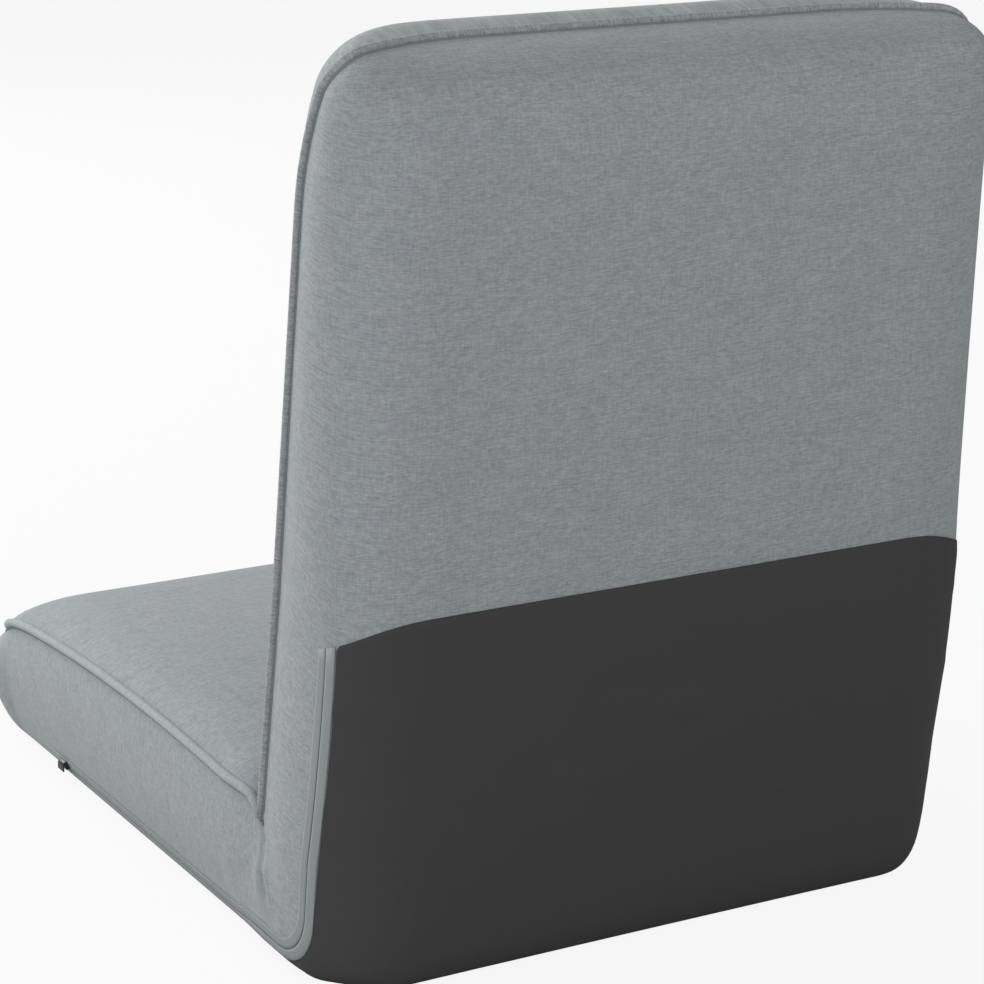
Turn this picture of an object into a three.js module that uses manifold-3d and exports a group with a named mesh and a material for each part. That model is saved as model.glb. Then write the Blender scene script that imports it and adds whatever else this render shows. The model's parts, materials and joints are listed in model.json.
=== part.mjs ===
// Folding floor chair. Units are millimetres, Z is up, the chair faces -Y and stands on Z = 0.
// Left is the sitter's left, which is +X.

import * as THREE from 'three';
import { mergeVertices } from 'three/addons/utils/BufferGeometryUtils.js';
import Module from 'manifold-3d';

const wasm = await Module();
wasm.setup();

// Fits
const GAP = 0.3;
const OVERRUN = 5;
const MERGE_DISTANCE = 0.001;

// Cushion outline: half widths at the welted edge, and its corners
const HALF_WIDTH = 250;
const TOP_NARROWING = 10;
const CORNER_RADIUS = 45;

// Seat cushion, measured from the crease to the front
const SEAT_LENGTH = 500;
const CREASE_HEIGHT = 106;
const SEAT_ARCH = 11;
const SEAT_FRONT_DROP = 6;
const SEAT_CROWN = 14;
const SEAT_FRONT_BULGE = 54;
const SEAT_FRONT_TUCK = 12;
const SEAT_FRONT_RIM = 10;
const SEAT_ZIP_HEIGHT = 9;
const SEAT_ZIP_FALL_LENGTH = 60;

// Back cushion, measured from the crease to the top
const BACK_LEAN_DEGREES = 9.3;
const BACK_LENGTH = 526;
const BACK_FOOT_THICKNESS = 116;
const BACK_TOP_THICKNESS = 72;
const BACK_CROWN = 30;
const BACK_TOP_BULGE = 10;
const BACK_TOP_TUCK = 6;
const BACK_RIM = 17;

// Forms that both cushions share
const SIDE_BULGE = 8;
const SIDE_TUCK = 4;
const EDGE_ROUNDING = 49;
const CREASE_ROUNDING = 40;
const HEEL_ZIP_RADIUS = 50;
const HEEL_POWER = 10;

// Cover
const CLOTH = 1.5;
const WELT_RADIUS = 2.8;
const WELT_STAND = 1.2;
const FOAM_EASE = 0.4;
const DARK_PANEL_TOP = 177;
const DARK_PANEL_DROP = 22;
const DARK_PANEL_DROP_WIDTH = 64;

// Zip on the left side, from the dark panel's upper corner to near the front
const ZIP_TAPE_WIDTH = 10.9;
const ZIP_TAPE_THICKNESS = 1.1;
const ZIP_GROOVE = 0.8;
const ZIP_TOP = 160;
const ZIP_FRONT = 398;
const SLIDER_LENGTH = 10;
const SLIDER_HEIGHT = 7;
const SLIDER_THICKNESS = 1.3;
const SLIDER_FROM_ZIP_END = 22;
const BRIDGE_LENGTH = 6;
const BRIDGE_POST = 1.2;
const BRIDGE_HEIGHT = 3;
const BRIDGE_THICKNESS = 0.9;
const PULL_LENGTH = 17;
const PULL_HEIGHT = 7;
const PULL_THICKNESS = 0.9;
const PULL_EYE_LENGTH = 3.9;

// Fold of the back about its pivots
const NOTCH_DEGREES = 16;
const NOTCHES_FORWARD = 3;
const NOTCHES_BACKWARD = 5;
const CREASE_SPARE_DEGREES = 1;
const SEAT_CUT_DEGREES = 28.8;

// Steel frame
const SEAT_FRAME_HEIGHT = 58;
const BACK_FRAME_DEPTH = 36;
const FRAME_INSET = 45;
const TUBE_RADIUS = 9.5;
const TUBE_WALL = 1.5;
const TUBE_BEND_RADIUS = 48;
const SEAT_FRAME_FRONT = 62;
const BACK_FRAME_TOP = 56;
const SEAT_TUBE_START = 46;
const BACK_TUBE_START = 34;
const CROSS_TUBE_RADIUS = 8;
const SEAT_CROSS_FROM_PIVOT = 108;
const BACK_CROSS_FROM_PIVOT = 118;

// Elastic webbing looped round the side tubes
const WEB_COUNT = 3;
const WEB_WIDTH = 50;
const WEB_THICKNESS = 1.6;
const WEB_FIRST = 165;
const WEB_PITCH = 95;

// Ratchet hinges
const CHEEK_THICKNESS = 2;
const CHEEK_RADIUS = 27;
const CHEEK_ARM = 68;
const CHEEK_ARM_RADIUS = 12;
const CHEEK_PAWL_RADIUS = 9;
const RATCHET_THICKNESS = 4;
const RATCHET_RADIUS = 26;
const TOOTH_DEPTH = 3.4;
const TOOTH_LEAD_DEGREES = 4;
const RATCHET_ARM_WIDTH = 13;
const RATCHET_ARM_END = 68;
const HUB_RADIUS = 11;
const PIVOT_RIVET_RADIUS = 4;
const PIVOT_HEAD_RADIUS = 8;
const TUBE_RIVET_RADIUS = 2.6;
const TUBE_HEAD_RADIUS = 5;
const HEAD_THICKNESS = 2;
const SEAT_RIVET_AT = 62;
const BACK_RIVET_AT = 54;
const PAWL_ANGLE_DEGREES = 240;
const PAWL_PIN_FORWARD = 31;
const PAWL_PIN_DOWN = 13;
const PAWL_PIN_RADIUS = 2.6;
const PAWL_PIN_HEAD_RADIUS = 4.6;
const PAWL_HUB_RADIUS = 6;
const PAWL_BACK_WIDTH = 7;
const SPRING_RADIUS = 5.2;
const SPRING_LENGTH = 4.5;
const HINGE_POCKET_RADIUS = 44;
const HINGE_POCKET_MARGIN = 1;

// Fineness of the curved forms
const CORNER_STEPS = 4;
const SEAT_STEPS = 6;
const BACK_STEPS = 6;
const HEEL_STEPS = 6;
const BAND_STEPS = 4;
const COLUMN_SHARES = [0, 0.3, 0.6, 0.8, 0.9, 1];
const WELT_SIDES = 6;
const TUBE_SIDES = 8;
const BEND_STEPS = 4;
const ROUND_SIDES = 14;
const WEB_END_STEPS = 4;
const TOP_EDGE_STEPS = 10;

// Derived values
const TOP_HALF_WIDTH = HALF_WIDTH - TOP_NARROWING;
const FRAME_HALF_WIDTH = HALF_WIDTH - FRAME_INSET;
const LEAN = THREE.MathUtils.degToRad(BACK_LEAN_DEGREES);
const TAPER = Math.atan((BACK_FOOT_THICKNESS - BACK_TOP_THICKNESS) / BACK_LENGTH);
const PIVOT = {
  y: (BACK_FRAME_DEPTH - (CREASE_HEIGHT - SEAT_FRAME_HEIGHT) * Math.sin(LEAN)) / Math.cos(LEAN),
  z: SEAT_FRAME_HEIGHT,
};
const REST_ANGLE = Math.PI / 2 - LEAN;
const CREASE_OPENING = NOTCH_DEGREES * NOTCHES_FORWARD + CREASE_SPARE_DEGREES;
const SEAT_CUT = Math.PI - THREE.MathUtils.degToRad(SEAT_CUT_DEGREES);
const BACK_CUT = SEAT_CUT - THREE.MathUtils.degToRad(CREASE_OPENING);
const HEEL_START = (Math.PI * 3) / 2;
const HEEL_END = Math.PI * 2 + REST_ANGLE - Math.PI / 2;
const SEAT_PEAK_SHARE = archPeakShare();
const CHEEK_INNER = TUBE_RADIUS + GAP;
const CHEEK_OUTER = CHEEK_INNER + CHEEK_THICKNESS;
const WELT_SPACE = Math.sqrt((WELT_RADIUS + GAP) ** 2 - WELT_STAND ** 2) - WELT_STAND + GAP;

// Where the seat's arch is highest, as a share of its length, for its rise and its drop at the front
function archPeakShare() {
  const drop = SEAT_FRONT_DROP / SEAT_ARCH;
  return 1 / (1 + Math.sqrt(1 + drop));
}

// Small helpers
const lerp = (a, b, k) => a + (b - a) * k;
const mix = (a, b, k) => a.map((value, axis) => lerp(value, b[axis], k));
const swell = (v) => Math.sin((Math.PI / 2) * Math.min(Math.max(v, 0), 1));
const atPivot = (radius, angle) => [
  PIVOT.y + radius * Math.cos(angle),
  PIVOT.z + radius * Math.sin(angle),
];

// A solid from a list of triangles given as points; it is turned to face outwards
function solidOf(triangles) {
  const flat = new THREE.BufferGeometry();
  flat.setAttribute('position', new THREE.Float32BufferAttribute(triangles.flat(2), 3));
  const merged = mergeVertices(flat, MERGE_DISTANCE);
  const index = [];
  for (let i = 0; i < merged.index.count; i += 3) {
    const [a, b, c] = [0, 1, 2].map((k) => merged.index.getX(i + k));
    if (a !== b && b !== c && c !== a) index.push(a, b, c);
  }
  const build = (triVerts) => new wasm.Manifold(new wasm.Mesh({
    numProp: 3,
    vertProperties: merged.attributes.position.array,
    triVerts: new Uint32Array(triVerts),
  }));
  const solid = build(index);
  if (solid.volume() > 0) return solid;
  for (let i = 0; i < index.length; i += 3) [index[i + 1], index[i + 2]] = [index[i + 2], index[i + 1]];
  return build(index);
}

// A solid from a three.js geometry, placed by a matrix
function solidFrom(geometry, matrix = new THREE.Matrix4()) {
  const g = (geometry.index ? geometry.toNonIndexed() : geometry.clone()).applyMatrix4(matrix);
  const p = g.attributes.position;
  const triangles = [];
  for (let i = 0; i < p.count; i += 3) {
    triangles.push([0, 1, 2].map((k) => [p.getX(i + k), p.getY(i + k), p.getZ(i + k)]));
  }
  return solidOf(triangles);
}

// The triangles of a grid of points, turned over on request
function gridTriangles(grid, turned, looped = false) {
  const triangles = [];
  const rowCount = looped ? grid.length : grid.length - 1;
  for (let j = 0; j < rowCount; j++) {
    const next = grid[(j + 1) % grid.length];
    for (let i = 0; i < grid[j].length - 1; i++) {
      const [a, b, c, d] = [grid[j][i], grid[j][i + 1], next[i + 1], next[i]];
      if (turned) triangles.push([a, c, b], [a, d, c]);
      else triangles.push([a, b, c], [a, c, d]);
    }
  }
  return triangles;
}

// A sheet with thickness between two grids of the same shape
function sheet(outer, inner, looped = false) {
  const triangles = [...gridTriangles(outer, false, looped), ...gridTriangles(inner, true, looped)];
  const last = outer[0].length - 1;
  const firstColumn = [outer.map((row) => row[0]), inner.map((row) => row[0])];
  const lastColumn = [outer.map((row) => row[last]), inner.map((row) => row[last])];
  const strip = (pair, turned) => {
    const grid = pair[0].map((point, k) => [point, pair[1][k]]);
    triangles.push(...gridTriangles(grid, turned, looped));
  };
  strip(firstColumn, true);
  strip(lastColumn, false);
  if (!looped) {
    const end = outer.length - 1;
    triangles.push(...gridTriangles([outer[0], inner[0]], true));
    triangles.push(...gridTriangles([outer[end], inner[end]], false));
  }
  return solidOf(triangles);
}

// Cushion maps: a point x across, s from the crease towards the far end, t deep from the sitting side
const seatPad = {
  length: SEAT_LENGTH,
  half: () => HALF_WIDTH,
  crown: SEAT_CROWN,
  front: (s) => {
    const share = s / SEAT_LENGTH / SEAT_PEAK_SHARE;
    return -SEAT_ARCH * share * (2 - share);
  },
  rear: () => CREASE_HEIGHT,
  rim: (s, end) => {
    const low = PIVOT.z - HEEL_ZIP_RADIUS;
    const side = lerp(low, SEAT_ZIP_HEIGHT, Math.min(s / SEAT_ZIP_FALL_LENGTH, 1));
    return lerp(side, SEAT_FRONT_RIM, end);
  },
  bulge: (end) => lerp(SIDE_BULGE, SEAT_FRONT_BULGE, end),
  tuck: (end) => lerp(SIDE_TUCK, SEAT_FRONT_TUCK, end),
  place: (x, s, t) => [x, -s, CREASE_HEIGHT - t],
  along: [0, -1, 0],
};
const backPad = {
  length: BACK_LENGTH,
  half: (s) => lerp(HALF_WIDTH, TOP_HALF_WIDTH, s / BACK_LENGTH),
  crown: BACK_CROWN,
  front: () => 0,
  rear: (s) => lerp(BACK_FOOT_THICKNESS, BACK_TOP_THICKNESS, s / BACK_LENGTH),
  rim: (s) => {
    const foot = BACK_FOOT_THICKNESS - BACK_FRAME_DEPTH - HEEL_ZIP_RADIUS - BACK_RIM;
    const fall = Math.max(1 - s / ZIP_TOP, 0);
    return BACK_RIM + foot * fall * fall;
  },
  bulge: (end) => lerp(SIDE_BULGE, BACK_TOP_BULGE, end),
  tuck: (end) => lerp(SIDE_TUCK, BACK_TOP_TUCK, end),
  place: (x, s, t) => [
    x,
    s * Math.sin(LEAN) + t * Math.cos(LEAN),
    CREASE_HEIGHT + s * Math.cos(LEAN) - t * Math.sin(LEAN),
  ],
  along: [0, Math.sin(LEAN), Math.cos(LEAN)],
};

// Rows across the cushions, from the seat's front to the top of the back
function padRows(pad, steps) {
  const straight = pad.length - CORNER_RADIUS;
  const rows = [];
  for (let k = 0; k <= steps; k++) rows.push({ pad, s: (straight * k) / steps, turn: 0 });
  for (let k = 1; k <= CORNER_STEPS; k++) {
    rows.push({ pad, s: straight, turn: ((Math.PI / 2) * k) / CORNER_STEPS, isLast: k === CORNER_STEPS });
  }
  return rows;
}

// Rows that fan out from the crease round the heel, each with its zip point and its outer point
function heelRows() {
  const rows = [];
  const rimHeight = PIVOT.z - HEEL_ZIP_RADIUS;
  rows.push({ fan: true, edge: [PIVOT.y / 2, rimHeight], outer: [PIVOT.y / 2, 0] });
  const rearNormal = HEEL_END + TAPER;
  const footThickness = backPad.rear(backOf(PIVOT.y, PIVOT.z).s);
  const toRear = (footThickness - BACK_FRAME_DEPTH) * Math.cos(TAPER);
  for (let k = 0; k <= HEEL_STEPS; k++) {
    const angle = lerp(HEEL_START, HEEL_END, k / HEEL_STEPS);
    const down = Math.max(-Math.sin(angle), 0) / PIVOT.z;
    const back = Math.max(Math.cos(angle - rearNormal), 0) / toRear;
    const reach = Math.pow(Math.pow(down, HEEL_POWER) + Math.pow(back, HEEL_POWER), -1 / HEEL_POWER);
    rows.push({ fan: true, edge: atPivot(HEEL_ZIP_RADIUS, angle), outer: atPivot(reach, angle) });
  }
  return rows;
}

// Distance along and depth in the back cushion of a point in the side view
function backOf(y, z) {
  const up = z - CREASE_HEIGHT;
  return {
    s: y * Math.sin(LEAN) + up * Math.cos(LEAN),
    t: y * Math.cos(LEAN) - up * Math.sin(LEAN),
  };
}

const rows = [...padRows(seatPad, SEAT_STEPS).reverse(), ...heelRows(), ...padRows(backPad, BACK_STEPS)];
const columns = [...COLUMN_SHARES.slice(1).map((share) => -share).reverse(), ...COLUMN_SHARES];

// A trim draws in only the points on the edge, so that every layer shares its inner columns
const isEdge = (row, share) => Math.abs(share) === 1 || row.isLast === true;

// Half width and place of a row whose outline is drawn in by a trim
function rowPlace(row, trim) {
  const radius = CORNER_RADIUS - trim;
  return {
    w: row.pad.half(row.s) - CORNER_RADIUS + radius * Math.cos(row.turn),
    s: row.s + radius * Math.sin(row.turn),
  };
}

// A point of the sitting surface
function frontPoint(row, share, edgeTrim = 0, inset = 0) {
  const trim = isEdge(row, share) ? edgeTrim : 0;
  if (row.fan || (row.s === 0 && row.turn === 0)) {
    const crease = (inset * (1 - Math.sin(LEAN))) / Math.cos(LEAN);
    return [share * (HALF_WIDTH - trim), crease, CREASE_HEIGHT - inset];
  }
  const { pad } = row;
  const { w, s } = rowPlace(row, trim);
  const full = rowPlace(row, 0);
  const x = share * w;
  const across = Math.abs(share) === 1 ? 0 : swell((full.w - Math.abs(x)) / EDGE_ROUNDING);
  const end = row.isLast ? 0 : swell((pad.length - s) / EDGE_ROUNDING);
  const crease = swell(s / CREASE_ROUNDING);
  return pad.place(x, s, pad.front(s) - pad.crown * across * end * crease + inset);
}

// A point of the rear and underside surface
function rearPoint(row, share, edgeTrim = 0, inset = 0) {
  const trim = isEdge(row, share) ? edgeTrim : 0;
  if (row.fan) {
    const w = HALF_WIDTH - SIDE_TUCK;
    const x = share * (w - trim);
    const part = Math.abs(share) === 1 ? 0 : swell((w - Math.abs(x)) / EDGE_ROUNDING);
    const [y, z] = mix(row.edge, row.outer, part);
    const angle = Math.atan2(z - PIVOT.z, y - PIVOT.y);
    const up = row.outer[1] < MERGE_DISTANCE ? 1 : -Math.sin(angle);
    const along = row.outer[1] < MERGE_DISTANCE ? 0 : -Math.cos(angle);
    return [x, y + inset * along, z + inset * up];
  }
  const { pad } = row;
  const end = Math.sin(row.turn) ** 2;
  const tuck = pad.tuck(end);
  const radius = CORNER_RADIUS - tuck;
  const fullW = pad.half(row.s) - CORNER_RADIUS + radius * Math.cos(row.turn);
  const w = fullW - trim * Math.cos(row.turn);
  const s = row.s + (radius - trim) * Math.sin(row.turn);
  const x = share * w;
  const across = Math.abs(share) === 1 ? 0 : swell((fullW - Math.abs(x)) / EDGE_ROUNDING);
  const toEnd = row.isLast ? 0 : swell((pad.length - pad.tuck(1) - s) / EDGE_ROUNDING);
  const rim = pad.rim(s, end);
  return pad.place(x, s, pad.rear(s) - rim * (1 - across * toEnd) - inset);
}

// The stations round the edge, in order: the first row, the left ends, the last row, the right ends
function edgeStations() {
  const last = rows.length - 1;
  const stations = [];
  columns.forEach((share) => stations.push({ row: rows[0], share, isEnd: true }));
  for (let j = 1; j < last; j++) stations.push({ row: rows[j], share: 1, isEnd: false });
  [...columns].reverse().forEach((share) => stations.push({ row: rows[last], share, isEnd: true }));
  for (let j = last - 1; j > 0; j--) stations.push({ row: rows[j], share: -1, isEnd: false });
  return stations;
}
const stations = edgeStations();

// The outward direction at a station
function outward({ row, share, isEnd }) {
  if (row.fan) return [share, 0, 0];
  if (isEnd) return row.pad.along;
  const along = row.pad.along.map((value) => value * Math.sin(row.turn));
  return [share * Math.cos(row.turn), along[1], along[2]];
}

// A point of the side band, from the welt at 0 to the lower rim at 1
function bandPoint(station, part, trim = 0, inset = 0) {
  const { row, share } = station;
  const top = frontPoint(row, share, trim, inset);
  const low = rearPoint(row, share, trim, inset);
  const end = row.fan ? 0 : Math.sin(row.turn) ** 2;
  const bulge = row.fan ? SIDE_BULGE : row.pad.bulge(end);
  const out = outward(station);
  const swing = bulge * Math.sin(Math.PI * part);
  return mix(top, low, part).map((value, axis) => value + out[axis] * swing);
}

// Length of the band from welt to rim at a station, for shares of it
function bandLength(station) {
  const top = new THREE.Vector3(...bandPoint(station, 0));
  return top.distanceTo(new THREE.Vector3(...bandPoint(station, 1)));
}

// The whole body inside the cover
function innerBody(inset) {
  const fronts = rows.map((row) => columns.map((share) => frontPoint(row, share, inset, inset)));
  const rears = rows.map((row) => columns.map((share) => rearPoint(row, share, inset, inset)));
  const band = stations.map((station) => {
    const line = [];
    for (let k = 0; k <= BAND_STEPS; k++) line.push(bandPoint(station, k / BAND_STEPS, inset, inset));
    return line;
  });
  return solidOf([
    ...gridTriangles(fronts, false),
    ...gridTriangles(rears, true),
    ...gridTriangles(band, false, true),
  ]);
}

// Cover sheets in one piece each, before they are cut at the hinge lines
function frontSheet() {
  const line = (row, inset) => columns.map((share) => frontPoint(row, share, WELT_SPACE, inset));
  const grid = (inset) => rows.map((row) => line(row, inset));
  return sheet(grid(0), grid(CLOTH));
}
function rearSheet() {
  const line = (row, inset) => columns.map((share) => rearPoint(row, share, GAP, inset));
  const grid = (inset) => rows.map((row) => line(row, inset));
  return sheet(grid(0), grid(CLOTH));
}
function bandSheet() {
  const grid = (trim) => stations.map((station) => {
    const length = bandLength(station);
    const from = WELT_SPACE / length;
    const to = 1 - (CLOTH + GAP * 2) / length;
    const line = [];
    for (let k = 0; k <= BAND_STEPS; k++) line.push(bandPoint(station, lerp(from, to, k / BAND_STEPS), trim));
    return line;
  });
  return sheet(grid(0), grid(CLOTH), true);
}

// A tube whose ring points are carried along the path, so that it never twists
function tube(points, radius, sides, wall = 0, looped = false) {
  const path = points.map((p) => new THREE.Vector3(...p));
  const count = path.length;
  const tangents = path.map((p, k) => {
    const before = path[looped ? (k + count - 1) % count : Math.max(k - 1, 0)];
    const after = path[looped ? (k + 1) % count : Math.min(k + 1, count - 1)];
    const into = p.clone().sub(before).normalize();
    const outOf = after.clone().sub(p).normalize();
    return into.add(outOf).normalize();
  });
  const side = new THREE.Vector3(0, 0, 1);
  side.addScaledVector(tangents[0], -side.dot(tangents[0])).normalize();
  const sidesOf = [side.clone()];
  for (let k = 1; k < count; k++) {
    const turn = new THREE.Quaternion().setFromUnitVectors(tangents[k - 1], tangents[k]);
    side.applyQuaternion(turn);
    side.addScaledVector(tangents[k], -side.dot(tangents[k])).normalize();
    sidesOf.push(side.clone());
  }
  const ring = (k, r) => {
    const third = tangents[k].clone().cross(sidesOf[k]);
    const circle = [];
    for (let i = 0; i <= sides; i++) {
      const angle = (Math.PI * 2 * (i % sides)) / sides;
      const point = path[k].clone();
      point.addScaledVector(sidesOf[k], r * Math.cos(angle)).addScaledVector(third, r * Math.sin(angle));
      circle.push(point.toArray());
    }
    return circle;
  };
  const outer = path.map((p, k) => ring(k, radius));
  const triangles = [...gridTriangles(outer, false, looped)];
  if (looped) return solidOf(triangles);
  const end = count - 1;
  if (wall > 0) {
    const inner = path.map((p, k) => ring(k, radius - wall));
    triangles.push(...gridTriangles(inner, true));
    triangles.push(...gridTriangles([outer[0], inner[0]], true));
    triangles.push(...gridTriangles([outer[end], inner[end]], false));
    return solidOf(triangles);
  }
  const cap = (k, turned) => {
    const middle = outer[k].map(() => path[k].toArray());
    triangles.push(...gridTriangles([outer[k], middle], turned));
  };
  cap(0, true);
  cap(end, false);
  return solidOf(triangles);
}

// Flat outlines in the side view, given as [y, z], carried across from one x to another
function prism(outline, fromX, toX, holes = []) {
  const shape = new THREE.Shape(outline.map(([y, z]) => new THREE.Vector2(y, z)));
  holes.forEach((hole) => shape.holes.push(new THREE.Path(hole.map(([y, z]) => new THREE.Vector2(y, z)))));
  const geometry = new THREE.ExtrudeGeometry(shape, { depth: toX - fromX, bevelEnabled: false });
  const basis = new THREE.Matrix4().makeBasis(
    new THREE.Vector3(0, 1, 0),
    new THREE.Vector3(0, 0, 1),
    new THREE.Vector3(1, 0, 0),
  );
  return solidFrom(geometry, new THREE.Matrix4().makeTranslation(fromX, 0, 0).multiply(basis));
}
function circle(centre, radius, sides = ROUND_SIDES) {
  const points = [];
  for (let k = 0; k < sides; k++) {
    const angle = (Math.PI * 2 * k) / sides;
    points.push([centre[0] + radius * Math.cos(angle), centre[1] + radius * Math.sin(angle)]);
  }
  return points;
}

// The convex outline round a set of circles
function hull(circles) {
  const points = circles.flatMap(([centre, radius]) => circle(centre, radius));
  points.sort((a, b) => a[0] - b[0] || a[1] - b[1]);
  const turn = (o, a, b) => (a[0] - o[0]) * (b[1] - o[1]) - (a[1] - o[1]) * (b[0] - o[0]);
  const half = (list) => {
    const chain = [];
    list.forEach((p) => {
      while (chain.length > 1 && turn(chain[chain.length - 2], chain[chain.length - 1], p) <= 0) chain.pop();
      chain.push(p);
    });
    chain.pop();
    return chain;
  };
  return [...half(points), ...half([...points].reverse())];
}

// The part of space between two directions from the pivot line, less half a gap on each face
const REACH = SEAT_LENGTH + BACK_LENGTH;
function sector(from, to, fromX = -HALF_WIDTH * 2, toX = HALF_WIDTH * 2) {
  const middle = (from + to) / 2;
  const opening = to - from;
  const tip = atPivot(GAP / 2 / Math.sin(Math.min(opening, Math.PI) / 2), middle);
  const far = (angle) => [tip[0] + REACH * Math.cos(angle), tip[1] + REACH * Math.sin(angle)];
  return prism([tip, far(from), far(middle), far(to)], fromX, toX);
}
const sectors = {
  crease: [BACK_CUT, SEAT_CUT],
  seat: [SEAT_CUT, HEEL_START],
  heel: [HEEL_START, HEEL_END],
  back: [HEEL_END - Math.PI * 2, BACK_CUT],
};
const inSector = (solid, name) => solid.intersect(sector(...sectors[name]));
const leftHalf = (solid, name) => solid.intersect(sector(...sectors[name], 0, HALF_WIDTH * 2));
const rightHalf = (solid, name) => solid.intersect(sector(...sectors[name], -HALF_WIDTH * 2, 0));

// Names, colours and the group that holds every piece
const group = new THREE.Group();
const LOOKS = {
  cloth: ['#9aa1a2', 0.95, 0],
  welt: ['#8b9193', 0.95, 0],
  base: ['#38393a', 0.9, 0],
  tape: ['#b3b8ba', 0.8, 0],
  foam: ['#e9e2cc', 1, 0],
  steel: ['#2b2c2e', 0.55, 0.3],
  zinc: ['#a9adb0', 0.35, 0.9],
  web: ['#3f4144', 0.9, 0],
  slider: ['#242526', 0.4, 0.6],
};
function add(name, solid, look) {
  const { numProp, vertProperties, triVerts } = solid.getMesh();
  const positions = new Float32Array((vertProperties.length / numProp) * 3);
  for (let i = 0; i < positions.length / 3; i++) {
    for (let k = 0; k < 3; k++) positions[i * 3 + k] = vertProperties[i * numProp + k];
  }
  const geometry = new THREE.BufferGeometry();
  geometry.setAttribute('position', new THREE.BufferAttribute(positions, 3));
  geometry.setIndex(new THREE.BufferAttribute(new Uint32Array(triVerts), 1));
  const [color, roughness, metalness] = LOOKS[look];
  const mesh = new THREE.Mesh(geometry, new THREE.MeshStandardMaterial({ color, roughness, metalness }));
  mesh.name = name;
  group.add(mesh);
}

// Zip strips that lie in the left side band, between two distances from the rim
function zipStations() {
  const found = [];
  stations.forEach((station) => {
    const { row, share, isEnd } = station;
    if (isEnd || share < 0) return;
    if (row.fan || row.turn === 0) found.push(station);
  });
  return found;
}
// A station part of the way along a cushion, for the zip's two ends
const seatStation = (s) => ({ row: { pad: seatPad, s, turn: 0 }, share: 1, isEnd: false });
const backStation = (s) => ({ row: { pad: backPad, s, turn: 0 }, share: 1, isEnd: false });
function zipRun(clearance) {
  const inner = zipStations().filter(({ row }) => {
    if (row.fan) return true;
    return row.pad === seatPad ? row.s < ZIP_FRONT : row.s < ZIP_TOP;
  });
  return [seatStation(ZIP_FRONT + clearance), ...inner, backStation(ZIP_TOP + clearance)];
}
function zipStrip(from, to, clearance, outside, inside) {
  const line = (station, trim) => {
    const length = bandLength(station);
    return [from, to].map((distance) => bandPoint(station, 1 - distance / length, trim));
  };
  const run = zipRun(clearance);
  return sheet(run.map((station) => line(station, -outside)), run.map((station) => line(station, inside)));
}
const TAPE_LOW = GAP * 2 + CLOTH;
const TAPE_MIDDLE = TAPE_LOW + ZIP_TAPE_WIDTH;
const TAPE_UPPER = TAPE_MIDDLE + ZIP_GROOVE;
const TAPE_HIGH = TAPE_UPPER + ZIP_TAPE_WIDTH;

// Frame tubes
function bentRun(start, frontAt, place) {
  const across = FRAME_HALF_WIDTH - TUBE_BEND_RADIUS;
  const points = [place(FRAME_HALF_WIDTH, start)];
  for (let k = 0; k <= BEND_STEPS; k++) {
    const angle = ((Math.PI / 2) * k) / BEND_STEPS;
    points.push(place(
      across + TUBE_BEND_RADIUS * Math.cos(angle),
      frontAt - TUBE_BEND_RADIUS + TUBE_BEND_RADIUS * Math.sin(angle),
    ));
  }
  return [...points, ...points.map(([x, y, z]) => [-x, y, z]).reverse()];
}
const seatFramePlace = (x, reach) => [x, PIVOT.y - reach, PIVOT.z];
const backFramePlace = (x, reach) => [
  x,
  PIVOT.y + reach * Math.sin(LEAN),
  PIVOT.z + reach * Math.cos(LEAN),
];
const seatFrameReach = PIVOT.y + SEAT_LENGTH - SEAT_FRAME_FRONT;
const backFrameReach = BACK_LENGTH - BACK_FRAME_TOP - backOf(PIVOT.y, PIVOT.z).s;
const seatRun = bentRun(SEAT_TUBE_START, seatFrameReach, seatFramePlace);
const backRun = bentRun(BACK_TUBE_START, backFrameReach, backFramePlace);

// Holes and channels that the frame leaves in the foam
const seatBores = tube(seatRun, TUBE_RADIUS + GAP, TUBE_SIDES);
const backBores = tube(backRun, TUBE_RADIUS + GAP, TUBE_SIDES);
function crossRun(place, reach, clearance = 0) {
  const end = FRAME_HALF_WIDTH - TUBE_RADIUS - GAP + clearance;
  return [place(end, reach), place(-end, reach)];
}
const seatCross = crossRun(seatFramePlace, SEAT_CROSS_FROM_PIVOT);
const backCross = crossRun(backFramePlace, BACK_CROSS_FROM_PIVOT);

// A webbing loop: a flat ring round both side tubes, as an outline in x and height above the tube line
function webOutline(radius) {
  const points = [];
  for (let side = 1; side >= -1; side -= 2) {
    for (let k = 0; k <= WEB_END_STEPS; k++) {
      const angle = (side > 0 ? -Math.PI / 2 : Math.PI / 2) + (Math.PI * k) / WEB_END_STEPS;
      points.push([side * FRAME_HALF_WIDTH + radius * Math.cos(angle), radius * Math.sin(angle)]);
    }
  }
  return points;
}
function webSolid(reach, width, isBack, radii) {
  const vectors = (outline) => outline.map(([x, h]) => new THREE.Vector2(x, h));
  const shape = new THREE.Shape(vectors(webOutline(radii[0])));
  if (radii.length > 1) shape.holes.push(new THREE.Path(vectors(webOutline(radii[1]))));
  const geometry = new THREE.ExtrudeGeometry(shape, { depth: width, bevelEnabled: false });
  const place = isBack ? backFramePlace : seatFramePlace;
  const along = new THREE.Vector3(...place(0, reach)).sub(new THREE.Vector3(...place(0, 0))).normalize();
  const acrossAxis = new THREE.Vector3(1, 0, 0);
  const upAxis = along.clone().cross(acrossAxis);
  const basis = new THREE.Matrix4().makeBasis(acrossAxis, upAxis, along);
  const start = new THREE.Matrix4().makeTranslation(...place(0, reach - width / 2));
  return solidFrom(geometry, start.multiply(basis));
}
const webRadius = (TUBE_RADIUS + GAP) / Math.cos(Math.PI / WEB_END_STEPS / 2);
const webOuter = webRadius + WEB_THICKNESS;
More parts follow.
